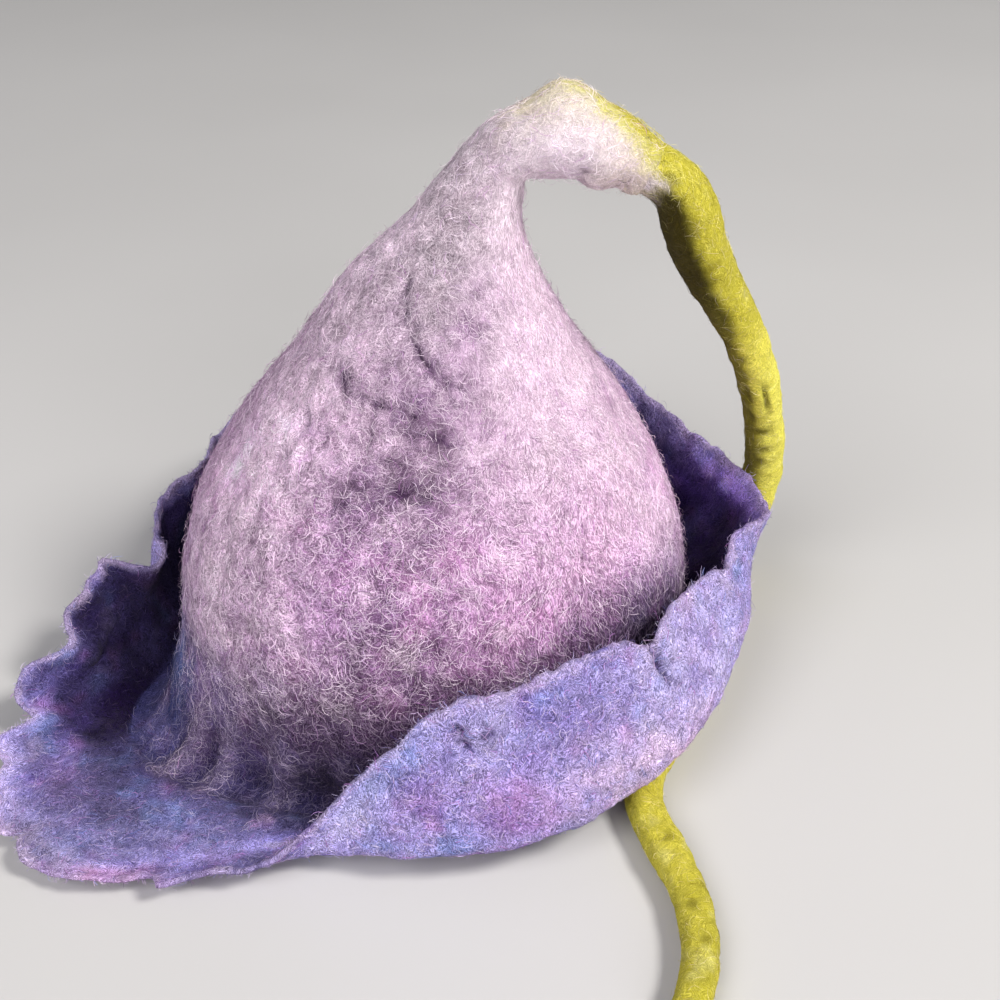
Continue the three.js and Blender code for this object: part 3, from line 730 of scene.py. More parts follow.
def brim_tint(p, az, s, inner):
    t = np.broadcast_to(PETAL if inner else PERIWINKLE, p.shape).copy()
    t = mixed(t, CYAN, 0.70 * smooth(fbm(p, 17.0, 61), 0.15, 0.9))
    t = mixed(t, MAGENTA, (0.42 if inner else 0.60) * smooth(fbm(p, 15.0, 65), 0.2, 0.95))
    t = mixed(t, VIOLET, 0.70 * smooth(fbm(p, 19.0, 69), 0.15, 0.9))
    t = mixed(t, PALE, (0.24 if inner else 0.48) * smooth(fbm(p, 13.0, 73), 0.35, 1.0))
    broken = (0.75 + 0.6 * fbm(p, 9.0, 77, 2)).clip(0, 1.3)
    for paz, ps, ha, hs, w, c in BRIM_PATCHES:
        d = (turn(az, paz) / ha) ** 2 + ((s - ps) / hs) ** 2
        t = mixed(t, c, np.clip(w * np.exp(-d) * broken, 0, 1))
    t = t * (1 + 0.24 * fbm(p, 6.0, 71, 3)).clip(0.55, 1.45)[..., None]
    if inner:
        # The standing walls are deep violet inside, darkened further by painted shade, up to a lighter border along the
        # rim.
        standing = smooth(np.abs(turn(az, 95)), 118, 92)
        left = np.exp(-((turn(az, 178) / 24) ** 4))
        border = smooth(s + 0.07 * noise(p / 9.0, 78), 1.0 + 0.02 * left, 0.80 + 0.09 * left)
        t = mixed(t, DEEP_VIOLET_AND_SHADE, 0.92 * standing * border * (0.9 + 0.12 * fbm(p, 14.0, 75, 2)).clip(0, 1.05))
        # Painted shade: darker at the foot of the left wall and inside the front brim next to the crown.
        t = mixed(t, DEEP_VIOLET_AND_SHADE, 0.75 * np.exp(-((turn(az, 201) / 6) ** 2)) * smooth(s, 0.85, 0.55))
        t = mixed(t, DEEP_VIOLET_AND_SHADE, 0.80 * smooth(s, 0.62, 0.30) * smooth(np.abs(turn(az, 300)), 62, 44))
        t = mixed(t, DEEP_VIOLET_AND_SHADE, 0.92 * np.exp(-((turn(az, 198) / 10) ** 4)) * smooth(s, 0.50, 0.22))
        t = mixed(t, PERIWINKLE, (0.68 - 0.31 * left) * standing * (1 - border))
        # Painted shade: the inside of the right wall, turned away from the light, and the standing walls darkened as a
        # whole.
        t = mixed(t, t * np.array([0.80, 0.45, 0.80]), 0.9 * standing * (0.60 + 0.40 * border) * np.exp(-((turn(az, 5) / 40) ** 4)))
        t = t * (0.92 - 0.12 * standing)[..., None]
        for paz, ps, ha, hs, gain in PETAL_TONES:
            tone = 1 + gain * np.exp(-((turn(az, paz) / ha) ** 2) - ((s - ps) / hs) ** 2)
            t = (t * tone[..., None] ** 2.1).clip(0, 1)
    t = mixed(t, PALE, 0.42 * smooth(s + 0.05 * noise(p / 6.0, 79), 0.94, 1.02))
    return t


def stem_groove(along, angle):
    depth = 0.0
    for ga, gd, ha, hd, deep in STEM_GROOVES:
        depth = depth + deep * hump(along - ga, 2 * ha) * hump(turn(angle, gd), 2 * hd)
    return depth


def stem_tint(p, along, az, facing_out):
    t = np.broadcast_to(LIME, p.shape).copy()
    t = mixed(t, LIME_PALE, 0.65 * smooth(fbm(p, 9.0, 81), 0.2, 0.9))
    t = mixed(t, OLIVE, 0.62 * smooth(fbm(p, 12.0, 85), 0.2, 0.9))
    # Painted shade: the side turned to the crown, away from the light, is darkened to a deep olive.
    shaded_side = smooth(facing_out @ np.array([-0.88, -0.20, -0.42]) + 0.12 * noise(p / 5.0, 87) - 0.18 * smooth(along, 60.0, 110.0) + 0.20 * smooth(along, 95.0, 60.0), 0.22, 0.74)
    t = mixed(t, OLIVE_SHADE, shaded_side * (0.72 + 0.25 * smooth(along, 95.0, 45.0)) * smooth(along, 1.0, 9.0) * smooth(along, 260.0, 190.0))
    # Painted light: the side towards the key light is lighter and yellower.
    lit = smooth(facing_out @ np.array([0.62, -0.62, 0.48]) + 0.10 * noise(p / 6.0, 88), -0.10, 0.52) * smooth(along, 72.0, 108.0) * smooth(along, 235.0, 190.0)
    t = mixed(t, rgb(250, 240, 98), lit * (0.98 + 0.32 * fbm(p, 8.0, 89, 2)).clip(0.60, 1))
    # Painted shade in the grooves and wrinkles.
    groove = stem_groove(along, az - 90)
    t = mixed(t, rgb(106, 96, 18), (0.85 * groove).clip(0, 0.85))
    # Painted shade: darker over the first 55 to 95 mm, under the crook.
    t = t * (1 - 0.13 * smooth(along, 95.0, 55.0))[..., None]
    green, _ = green_share(p, az, TOP + along / 11.0)
    t = t * (1 - 0.14 * smooth(along, 425.0, 470.0))[..., None]
    return mixed(CROWN_TINT[-1][1], t, green)


crisp = np.exp(-((turn(grid_az, 196) / 12) ** 4))  # a clear line between the dark wall and the crown's foot
blend_w = smooth(row_s, 0.02 - 0.015 * crisp, 0.20 - 0.15 * crisp)
tint_upper = mixed(crown_tint(UPPER, grid_az, row_u), brim_tint(UPPER, grid_az, row_s, True), blend_w)
# Painted shade: a broken dark halo round the creases, and darker still inside them.
tint_upper = mixed(tint_upper, tint_upper * np.array([0.42, 0.34, 0.48]), 0.75 * crease_halo * on_crown)
at_crook = smooth(row_u, 11.8, 12.5)
tint_upper = mixed(tint_upper, tint_upper * np.array([0.26, 0.19, 0.30]), (1.3 * creased * (1 - 0.72 * at_crook)).clip(0, 1))
# Painted shade: darker in the gathers near the fold.
pleat = np.zeros_like(height)
for daz, dz, ha, hz, depth in GATHERS[GATHERS[:, 1] < 30]:
    pleat += depth * hump(turn(grid_az, daz), 2 * ha) * hump(height - dz, 2 * hz)
near_fold = np.where(on_crown, smooth(height, 40, 24), smooth(row_s, 0.13, 0.02))
tint_upper *= (1 - 0.46 * np.clip(pleat / 2.6, 0, 1) * near_fold)[..., None]
tint_upper = mixed(tint_upper, rgb(124, 106, 140), 1.7 * share[None] * near_fold)
# Painted light: lighter between the gathers low on the front left of the crown.
ridge = np.exp(-((turn(grid_az, 228) / 32) ** 4)) * smooth(height, 3, 12) * smooth(height, 46, 26) * on_crown
tint_upper *= (1 + 0.12 * ridge * (1 - np.clip(pleat / 1.1, 0, 1)))[..., None]
tint_under = mixed(crown_tint(UNDER, grid_az, row_u), brim_tint(UNDER + 3.0, grid_az, row_s, False), blend_w)
# Painted shade inside the creases of the underside.
tint_under = mixed(tint_under, rgb(50, 26, 98), (1.1 * creased).clip(0, 0.95))
# How far the strands are combed up and down: most on the right of the crown.
calm_upper = np.where(on_crown, np.maximum(smooth(row_u, 8.6, 11.0), 0.45 * np.exp(-((turn(grid_az, 338) / 62) ** 4)) * smooth(height, 70, 110)), 0.0)
comb_upper = np.where(on_crown, np.exp(-((turn(grid_az, 338) / 62) ** 4)) * smooth(height, 12, 50), 0.0)
# Where the felt's grain stands out most: low on the front of the crown, and the brim.
bold_upper = np.where(on_crown, np.exp(-((turn(grid_az, 276) / 62) ** 4)) * smooth(height, 12, 42) * smooth(height, 150, 105), 0.45)
bold_under = np.where(on_crown, 0.0, 1.0)


# ---- Materials -------------------------------------------------------------------------------------
class Nodes:
    def __init__(self, name):
        self.mat = bpy.data.materials.new(name)
        self.mat.use_nodes = True
        self.tree = self.mat.node_tree
        self.tree.nodes.clear()
        self.out = self.new("ShaderNodeOutputMaterial")
        self.bsdf = self.new("ShaderNodeBsdfPrincipled")
        self.link(self.bsdf.outputs[0], self.out.inputs["Surface"])

    def new(self, kind, **values):
        n = self.tree.nodes.new(kind)
        for k, v in values.items():
            setattr(n, k, v)
        return n

    def link(self, a, b):
        self.tree.links.new(a, b)

    def noise(self, where, scale, detail, rough, distortion):
        n = self.new("ShaderNodeTexNoise")
        n.inputs["Scale"].default_value = scale
        n.inputs["Detail"].default_value = detail
        n.inputs["Roughness"].default_value = rough
        n.inputs["Distortion"].default_value = distortion
        self.link(where, n.inputs["Vector"])
        return n.outputs["Fac"]

    def math(self, op, a, b=None, clamp=False):
        n = self.new("ShaderNodeMath", operation=op, use_clamp=clamp)
        for k, v in enumerate((a, b)):
            if v is None:
                continue
            if isinstance(v, (int, float)):
                n.inputs[k].default_value = v
            else:
                self.link(v, n.inputs[k])
        return n.outputs[0]

    def range(self, x, lo, hi, to_lo, to_hi):
        n = self.new("ShaderNodeMapRange", clamp=True, interpolation_type="SMOOTHSTEP")
        self.link(x, n.inputs["Value"])
        for name, v in (("From Min", lo), ("From Max", hi), ("To Min", to_lo), ("To Max", to_hi)):
            n.inputs[name].default_value = v
        return n.outputs["Result"]

    def times(self, colour, factor):
        n = self.new("ShaderNodeVectorMath", operation="SCALE")
        self.link(colour, n.inputs[0])
        self.link(factor, n.inputs["Scale"])
        return n.outputs[0]

    def mix(self, factor, a, b):
        n = self.new("ShaderNodeMix", data_type="RGBA")
        self.link(factor, n.inputs[0])
        self.link(a, n.inputs[6])
        if isinstance(b, tuple):
            n.inputs[7].default_value = b
        else:
            self.link(b, n.inputs[7])
        return n.outputs[2]

    def finish(self, rough, sheen, sheen_rough, sheen_tint, specular=0.12):
        i = self.bsdf.inputs
        i["Roughness"].default_value = rough
        i["Specular IOR Level"].default_value = specular
        i["Sheen Weight"].default_value = sheen
        i["Sheen Roughness"].default_value = sheen_rough
        i["Sheen Tint"].default_value = sheen_tint
        return self.mat


def matted_felt(name, sheen_tint, white, scale=1.0):
    """Felt body: layers of fine curling strands, paler on top, over a darker mat."""
    k = Nodes(name)
    where = k.new("ShaderNodeTexCoord").outputs["Object"]
    tint = k.new("ShaderNodeAttribute", attribute_name="felt_tint").outputs["Color"]
    comb = k.new("ShaderNodeAttribute", attribute_name="felt_comb").outputs["Fac"]
    bold = k.new("ShaderNodeAttribute", attribute_name="felt_bold").outputs["Fac"]

    def bent(size, amount):
        n = k.new("ShaderNodeTexNoise")
        n.inputs["Scale"].default_value = size
        n.inputs["Detail"].default_value = 1.0
        k.link(where, n.inputs["Vector"])
        centred = k.new("ShaderNodeVectorMath", operation="SUBTRACT")
        k.link(n.outputs["Color"], centred.inputs[0])
        centred.inputs[1].default_value = (0.5, 0.5, 0.5)
        small = k.new("ShaderNodeVectorMath", operation="SCALE")
        k.link(centred.outputs[0], small.inputs[0])
        small.inputs["Scale"].default_value = amount
        both = k.new("ShaderNodeVectorMath", operation="ADD")
        k.link(where, both.inputs[0])
        k.link(small.outputs[0], both.inputs[1])
        return both.outputs[0]

    def layer(source, rotation, across, along, lo, hi):
        m = k.new("ShaderNodeMapping")
        k.link(source, m.inputs["Vector"])
        m.inputs["Rotation"].default_value = rotation
        m.inputs["Scale"].default_value = (across * scale, across * scale, along * scale)
        return k.range(k.noise(m.outputs[0], 1.0, 1.0, 0.5, 0.0), lo, hi, 0.0, 1.0)

    curled = bent(150 * scale, 0.013)
    tangle = layer(curled, (0.2, 0.1, 0.0), 1750, 260, 0.50, 0.70)
    for rotation in ((1.45, 0.2, 0.4), (0.3, 1.5, 0.9), (0.8, 0.8, 2.0)):
        tangle = k.math("MAXIMUM", tangle, layer(curled, rotation, 1850, 270, 0.53, 0.73))
    combed = layer(bent(120 * scale, 0.004), (0.0, 0.0, 0.0), 1900, 130, 0.40, 0.70)
    blend = k.new("ShaderNodeMix", data_type="FLOAT")
    k.link(comb, blend.inputs[0])
    k.link(tangle, blend.inputs[2])
    k.link(combed, blend.inputs[3])
    strands = blend.outputs[0]
    mottle = k.noise(where, 260 * scale, 3.0, 0.62, 0.6)
    tone = k.range(mottle, 0.32, 0.68, 0.58, 1.05)
    dark = k.times(tint, k.math("MULTIPLY", tone, k.math("SUBTRACT", 0.62, k.math("MULTIPLY", bold, 0.18))))
    grey = k.new("ShaderNodeRGBToBW")
    k.link(tint, grey.inputs[0])
    lift = k.math("MULTIPLY", grey.outputs[0], white)
    lifted = k.new("ShaderNodeCombineXYZ")
    for socket in lifted.inputs:
        k.link(lift, socket)
    light = k.new("ShaderNodeVectorMath", operation="MULTIPLY_ADD")
    k.link(tint, light.inputs[0])
    light.inputs[1].default_value = (1.12, 1.12, 1.12)
    k.link(lifted.outputs[0], light.inputs[2])
    calm = k.new("ShaderNodeAttribute", attribute_name="felt_calm").outputs["Fac"]
    lighter = k.times(light.outputs[0], k.math("ADD", 1.0, k.math("MULTIPLY", bold, 0.15)))
    k.link(k.mix(k.math("MULTIPLY", calm, 0.65), k.mix(strands, dark, lighter), tint), k.bsdf.inputs["Base Color"])
    relief = k.math("ADD", k.math("MULTIPLY", strands, 0.45), k.math("MULTIPLY", mottle, 1.1))
    bump = k.new("ShaderNodeBump")
    bump.inputs["Strength"].default_value = 0.6
    bump.inputs["Distance"].default_value = 0.0011
    k.link(relief, bump.inputs["Height"])
    k.link(bump.outputs[0], k.bsdf.inputs["Normal"])
    return k.finish(0.95, 0.06, 0.5, sheen_tint, 0.06)


def loose_wool(name, sheen_tint):
    """Single strands: their own colour, a little uneven along the length."""
    k = Nodes(name)
    where = k.new("ShaderNodeTexCoord").outputs["Object"]
    tint = k.new("ShaderNodeAttribute", attribute_name="felt_tint").outputs["Color"]
    tone = k.range(k.noise(where, 420, 2.0, 0.5, 0.0), 0.3, 0.7, 0.84, 1.1)
    k.link(k.times(tint, tone), k.bsdf.inputs["Base Color"])
    return k.finish(0.9, 0.06, 0.5, sheen_tint, 0.06)


FELT_MAT = matted_felt("lilac_felt", (0.95, 0.86, 0.97, 1), 0.36, 1.22)
STEM_MAT = matted_felt("green_felt", (0.95, 0.92, 0.55, 1), 0.10, 1.15)
WOOL_MAT = loose_wool("lilac_wool", (0.95, 0.88, 0.97, 1))
STEM_WOOL_MAT = loose_wool("green_wool", (0.95, 0.92, 0.6, 1))


# ---- Meshes from arrays ------------------------------------------------------------------------------
def mesh_object(name, points_mm, quads, tris, tint, material, uv=None, comb=None, calm=None, bold=None):
    """uv is one pair for every corner, the quads' corners first."""
    quads = np.asarray(quads, np.int64).reshape(-1, 4)
    tris = np.asarray(tris, np.int64).reshape(-1, 3)
    used, index = np.unique(np.concatenate([quads.ravel(), tris.ravel()]), return_inverse=True)
    co = (points_mm[used] + AXIS) * 0.001
    mesh = bpy.data.meshes.new(name)
    mesh.vertices.add(len(co))
    mesh.vertices.foreach_set("co", co.astype(np.float32).ravel())
    mesh.loops.add(len(index))
    mesh.loops.foreach_set("vertex_index", index.astype(np.int32))
    count = np.concatenate([np.full(len(quads), 4), np.full(len(tris), 3)]).astype(np.int32)
    mesh.polygons.add(len(count))
    mesh.polygons.foreach_set("loop_start", np.concatenate([[0], np.cumsum(count)[:-1]]).astype(np.int32))
    mesh.polygons.foreach_set("loop_total", count)
    mesh.polygons.foreach_set("use_smooth", np.ones(len(count), bool))
    colour = mesh.attributes.new("felt_tint", "FLOAT_COLOR", "POINT")
    rgba = np.ones((len(co), 4), np.float32)
    rgba[:, :3] = np.clip(tint[used], 0, 1)
    colour.data.foreach_set("color", rgba.ravel())
    if comb is not None:
        mesh.attributes.new("felt_comb", "FLOAT", "POINT").data.foreach_set("value", comb[used].astype(np.float32))
    if calm is not None:
        mesh.attributes.new("felt_calm", "FLOAT", "POINT").data.foreach_set("value", calm[used].astype(np.float32))
    if bold is not None:
        mesh.attributes.new("felt_bold", "FLOAT", "POINT").data.foreach_set("value", bold[used].astype(np.float32))
    if uv is not None:
        layer = mesh.uv_layers.new(name="OFBake")
        layer.data.foreach_set("uv", np.asarray(uv, np.float32).ravel())
    mesh.update(calc_edges=True)
    mesh.validate()
    mesh.materials.append(material)
    obj = bpy.data.objects.new(name, mesh)
    scene.collection.objects.link(obj)
    return obj


def triangles(obj):
    obj.data.calc_loop_triangles()
    return len(obj.data.loop_triangles)


# ---- Stem ----------------------------------------------------------------------------------------------
def centripetal(p, samples):
    """Centripetal curve through points, at even steps, with the table's own parameter at each."""
    p = np.asarray(p, float)
    last = len(p) - 1

    def at(t):
        i = np.minimum(np.floor(t).astype(int), last - 1)
        w = (t - i)[:, None]
        p1, p2 = p[i], p[i + 1]
        p0 = np.where((i > 0)[:, None], p[np.maximum(i - 1, 0)], 2 * p[0] - p[1])
        p3 = np.where((i + 2 <= last)[:, None], p[np.minimum(i + 2, last)], 2 * p[-1] - p[-2])
        d0, d1, d2 = [np.sum((a - b) ** 2, 1, keepdims=True) ** 0.25 for a, b in ((p0, p1), (p1, p2), (p2, p3))]
        m1 = ((p1 - p0) / d0 - (p2 - p0) / (d0 + d1) + (p2 - p1) / d1) * d1
        m2 = ((p2 - p1) / d1 - (p3 - p1) / (d1 + d2) + (p3 - p2) / d2) * d1
        return p1 + m1 * w + (-3 * p1 + 3 * p2 - 2 * m1 - m2) * w**2 + (2 * p1 - 2 * p2 + m1 + m2) * w**3

    t = np.linspace(0, last, 4001)
    q = at(t)
    cum = np.concatenate([[0], np.cumsum(np.linalg.norm(np.diff(q, axis=0), axis=1))])
    ti = np.interp(np.linspace(0, cum[-1], samples + 1), cum, t)
    return at(ti), ti, cum[-1]


tip = CROWN[-1]
tip_axis = np.array([math.sin(math.radians(tip[4])), 0, math.cos(math.radians(tip[4]))])
tip_centre = np.array([tip[0], 0, tip[1]])
STEM_SIDES, STEM_RINGS = 44, 300


def make_stem():
    line, t, length = centripetal(np.vstack([tip_centre + 0.3 * tip_axis, STEM[:, :3]]), STEM_RINGS)
    radii = through(np.arange(len(STEM) + 1), np.concatenate([[9.9], STEM[:, 3]])[:, None], t)[:, 0]
    # It begins inside the end of the peak and ends rounded.
    lead = np.array([-4.0, -2.0, -0.6])
    line = np.vstack([tip_centre + lead[:, None] * tip_axis, line])
    radii = np.concatenate([[8.6, 9.3, 9.75], radii])
    tangent = unit(np.gradient(line, axis=0))
    side = np.zeros_like(line)
    side[0] = np.array([0.0, 1.0, 0.0])
    for k in range(1, len(line)):  # carried along without twisting
        v = side[k - 1] - tangent[k] * np.dot(side[k - 1], tangent[k])
        side[k] = v / np.linalg.norm(v)
    other = np.cross(tangent, side)
    along = np.concatenate([[0], np.cumsum(np.linalg.norm(np.diff(line, axis=0), axis=1))]) + lead[0]
    keep = along <= length - radii[-1] + 0.5
    line, radii, side, other, along, tangent = [x[keep] for x in (line, radii, side, other, along, tangent)]
    path = line.copy()
    # Rounded end.
    cap = np.radians([18, 36, 54, 70, 82])
    end, r_end = line[-1], radii[-1]
    for c in cap:
        line = np.vstack([line, end + tangent[-1] * r_end * math.sin(c)])
        radii = np.append(radii, r_end * math.cos(c))
        side, other = np.vstack([side, side[-1]]), np.vstack([other, other[-1]])
        along = np.append(along, along[len(path) - 1] + r_end * math.sin(c))
    ang = 2 * np.pi * np.arange(STEM_SIDES) / STEM_SIDES
    out = side[:, None] * np.cos(ang)[None, :, None] + other[:, None] * np.sin(ang)[None, :, None]
    p = line[:, None] + out * radii[:, None, None]
    start = smooth(along, 1.0, 14.0)[:, None]
    lumps = start * (0.55 * fbm(p, 15.0, 91, 2) + 0.35 * fbm(p, 5.5, 95, 2))
    # Short wrinkles across the stem where it bends.
    stretched = np.stack([along[:, None] + 0 * ang, np.cos(ang)[None] * 3 + 0 * along[:, None], np.sin(ang)[None] * 3 + 0 * along[:, None]], -1)
    wrinkle = noise(stretched / np.array([2.6, 2.2, 2.2]), 99)
    lumps -= start * 0.42 * smooth(wrinkle, 0.25, 0.9) * smooth(noise(stretched / np.array([26.0, 9.0, 9.0]), 101), -0.25, 0.45)
    lumps -= stem_groove(along[:, None], np.degrees(ang)[None])
    # Less of a shoulder where it turns down.
    lumps -= 2.2 * np.clip(out @ np.array([0.62, 0.0, 0.78]), 0, 1) * hump(along - 9.0, 17.0)[:, None]
    p = p + out * (lumps * np.minimum(1, radii / 5)[:, None])[..., None]
    p[..., 2] = np.maximum(p[..., 2], 0.05)
    rings, sides = p.shape[:2]
    index = np.arange(rings * sides).reshape(rings, sides)
    nxt = np.roll(index, -1, 1)
    quads = np.stack([index[:-1], nxt[:-1], nxt[1:], index[1:]], -1).reshape(-1, 4)
    points = np.vstack([p.reshape(-1, 3), line[0] - 0.3 * tip_axis, end + tangent[-1] * r_end])
    a, b = len(points) - 2, len(points) - 1
    tris = [[a, nxt[0, k], index[0, k]] for k in range(sides)] + [[b, index[-1, k], nxt[-1, k]] for k in range(sides)]
    ring_az = np.append(np.tile(90 + np.degrees(ang), rings), [0.0, 0.0])
    tint = stem_tint(points, np.concatenate([np.repeat(along, sides), along[[0, -1]]]), ring_az, np.vstack([out.reshape(-1, 3), np.zeros((2, 3))]))
    u0 = np.tile(np.arange(sides) / sides, (rings - 1, 1))
    v0 = np.repeat((np.arange(rings) / rings)[:-1, None], sides, 1)
    du, dv = 1 / sides, 1 / rings
    corners = [(u0, v0), (u0 + du, v0), (u0 + du, v0 + dv), (u0, v0 + dv)]
    uv = np.stack([np.stack(c, -1) for c in corners], -2).reshape(-1, 2)
    cap_uv = []
    for v in (0.0, 1 - dv):
        for k in range(sides):
            x = k / sides
            cap_uv += [[x + du / 2, v + dv * 0.9], [x + du, v], [x, v]] if v == 0 else [[x + du / 2, v + dv * 0.95], [x, v], [x + du, v]]
    obj = mesh_object("felt_stem", points, quads, tris, tint, STEM_MAT, np.vstack([uv, cap_uv]), np.full(len(points), 0.1), np.full(len(points), 0.5))
    return obj, path, length, p, along


stem_obj, stem_path, stem_length, STEM_GRID, STEM_ALONG = make_stem()


# ---- Body ------------------------------------------------------------------------------------------------
def make_body():
    cols = np.arange(COLUMNS)
    points = [UPPER.reshape(-1, 3)]
    tints = [tint_upper.reshape(-1, 3)]
    combs, calms = [comb_upper.ravel()], [calm_upper.ravel()]
    up = np.arange(ROWS * COLUMNS).reshape(ROWS, COLUMNS)
    # Inside of the crown: every third row; underside of fold and brim: all rows.
    inner_rows = np.concatenate([np.arange(0, N_CROWN - 6, 3), np.arange(N_CROWN - 6, ROWS)])
    down = ROWS * COLUMNS + np.arange(len(inner_rows) * COLUMNS).reshape(len(inner_rows), COLUMNS)
    points.append(UNDER[inner_rows].reshape(-1, 3))
    tints.append(tint_under[inner_rows].reshape(-1, 3))
    combs.append(np.zeros(len(inner_rows) * COLUMNS))
    bolds = [bold_upper.ravel(), bold_under[inner_rows].ravel()]
    # Rounded rim.
    edge = []
    count = ROWS * COLUMNS + len(inner_rows) * COLUMNS
    mid = (UPPER[-1] + UNDER[-1]) / 2
    across = (UPPER[-1] - UNDER[-1]) / 2
    reach = unit(mid - (UPPER[-4] + UNDER[-4]) / 2) * np.linalg.norm(across, axis=1, keepdims=True)
    for deg in (50, 18, -18, -50):
        c = math.radians(deg)
        edge.append(count + cols)
        count += COLUMNS
        points.append(mid + across * math.sin(c) + reach * math.cos(c))
        tints.append(tint_upper[-1])
        combs.append(np.zeros(COLUMNS))
    tip_up, tip_down = count, count + 1
    points.append(np.array([tip_centre, tip_centre - tip_axis * FELT]))
    tints.append(tint_upper[0, :2])
    combs.append(np.zeros(2))
    points, tints, combs = np.vstack(points), np.vstack(tints), np.concatenate(combs)
    calms = np.concatenate([calms[0], np.zeros(len(combs) - len(calms[0]))])
    bolds = np.concatenate(bolds)
    bolds = np.concatenate([bolds, np.full(len(combs) - len(bolds), 0.5)])

    quads, tris, quad_uv, tri_uv = [], [], [], []

    def strip(a, b, va, vb, step_a=1, step_b=1, flip=False):
        """Faces between two rows; each row may use every second column."""
        if step_a == step_b:
            ka = cols[::step_a]
            kb = np.roll(ka, -1)
            q = np.stack([a[ka], b[ka], b[kb], a[kb]], -1)
            x0, x1 = ka / COLUMNS, (ka + step_a) / COLUMNS
            uv = np.stack([np.stack([x0, 0 * x0 + va], -1), np.stack([x0, 0 * x0 + vb], -1), np.stack([x1, 0 * x0 + vb], -1), np.stack([x1, 0 * x0 + va], -1)], 1)
            if flip:
                q, uv = q[:, ::-1], uv[:, ::-1]
            quads.append(q)
            quad_uv.append(uv)
        else:  # a has half as many as b
            ka = cols[::step_a]
            mid_, nxt = ka + step_b, (ka + step_a) % COLUMNS
            x0, xm, x1 = ka / COLUMNS, mid_ / COLUMNS, (ka + step_a) / COLUMNS
            for tri, xs in (
                ((a[ka], b[ka], b[mid_]), ((x0, va), (x0, vb), (xm, vb))),
                ((a[ka], b[mid_], a[nxt]), ((x0, va), (xm, vb), (x1, va))),
                ((a[nxt], b[mid_], b[nxt]), ((x1, va), (xm, vb), (x1, vb))),
            ):
                t = np.stack(tri, -1)
                uv = np.stack([np.stack([x, 0 * x + v], -1) for x, v in xs], 1)
                if flip:
                    t, uv = t[:, ::-1], uv[:, ::-1]
                tris.append(t)
                tri_uv.append(uv)

    def pole(centre, row, v, step, flip):
        ka = cols[::step]
        nxt = (ka + step) % COLUMNS
        t = np.stack([np.full(len(ka), centre), row[ka], row[nxt]], -1)
        x0, x1 = ka / COLUMNS, (ka + step) / COLUMNS
        uv = np.stack([np.stack([(x0 + x1) / 2, 0 * x0 + v - 0.004], -1), np.stack([x0, 0 * x0 + v], -1), np.stack([x1, 0 * x0 + v], -1)], 1)
        if flip:
            t, uv = t[:, ::-1], uv[:, ::-1]
        tris.append(t)
        tri_uv.append(uv)

    def v_up(i):
        return 0.01 + 0.68 * i / (ROWS - 1)

    def v_down(i):
        return 0.99 - 0.27 * (ROWS - 1 - i) / (ROWS - 1)

    for i in range(ROWS - 1):
        sa = 2 if i < PEAK_ROWS else 1
        sb = 2 if i + 1 < PEAK_ROWS else 1
        strip(up[i], up[i + 1], v_up(i), v_up(i + 1), sa, sb)
    pole(tip_up, up[0], v_up(0), 2, False)
    full_from = N_CROWN - 6
    for k in range(len(inner_rows) - 1):
        i, j = inner_rows[k], inner_rows[k + 1]
        sa = 4 if i < PEAK_ROWS else (2 if i < full_from else 1)
        sb = 4 if j < PEAK_ROWS else (2 if j < full_from else 1)
        strip(down[k], down[k + 1], v_down(i), v_down(j), sa, sb, flip=True)
    pole(tip_down, down[0], v_down(0), 4, True)
    chain = [up[-1], *edge, down[-1]]
    for k in range(len(chain) - 1):
        strip(chain[k], chain[k + 1], 0.695 + 0.004 * k, 0.695 + 0.004 * (k + 1))
    uv = np.concatenate([np.concatenate(quad_uv).reshape(-1, 2), np.concatenate(tri_uv).reshape(-1, 2)])
    return mesh_object("felt_body", points, np.concatenate(quads), np.concatenate(tris), tints, FELT_MAT, uv, combs, calms, bolds)


body_obj = make_body()


# ---- Loose wool ---------------------------------------------------------------------------------------------
STEPS = 4


class Sheet:
    """A grid of surface points, closed along its second direction, that strands are traced on."""

    def __init__(self, points, normal, lo=0, hi=None):
        self.p, self.n = points, normal
        self.down, self.round = slopes(points)
        self.area = np.linalg.norm(np.cross(self.down, self.round), axis=-1)
        self.lo, self.hi = lo, len(points) - 1 if hi is None else hi

    def sample(self, a, i, j):
        rows, cols = a.shape[:2]
        ic = np.clip(i, 0, rows - 1.001)
        i0 = ic.astype(int)
        fi = (ic - i0)[:, None]
        jm = np.mod(j, cols)
        j0 = jm.astype(int) % cols
        fj = (jm - np.floor(jm))[:, None]
        j1 = (j0 + 1) % cols
        return (a[i0, j0] * (1 - fj) + a[i0, j1] * fj) * (1 - fi) + (a[i0 + 1, j0] * (1 - fj) + a[i0 + 1, j1] * fj) * fi

    def place(self, i, j):
        """Point on the surface; past its ends it goes straight on."""
        p = self.sample(self.p, i, j)
        over = np.maximum(i - (len(self.p) - 1), 0)[:, None]
        return p + over * self.sample(self.down, i, j)

    def roots(self, count, rng, weight=None):
        w = self.area.copy()
        w[: self.lo] = 0
        w[self.hi + 1 :] = 0
        if weight is not None:
            w = w * weight
        pick = rng.choice(w.size, count, p=(w / w.sum()).ravel())
        i, j = np.divmod(pick, w.shape[1])
        return i + rng.uniform(-0.5, 0.5, count), j + rng.uniform(-0.5, 0.5, count)


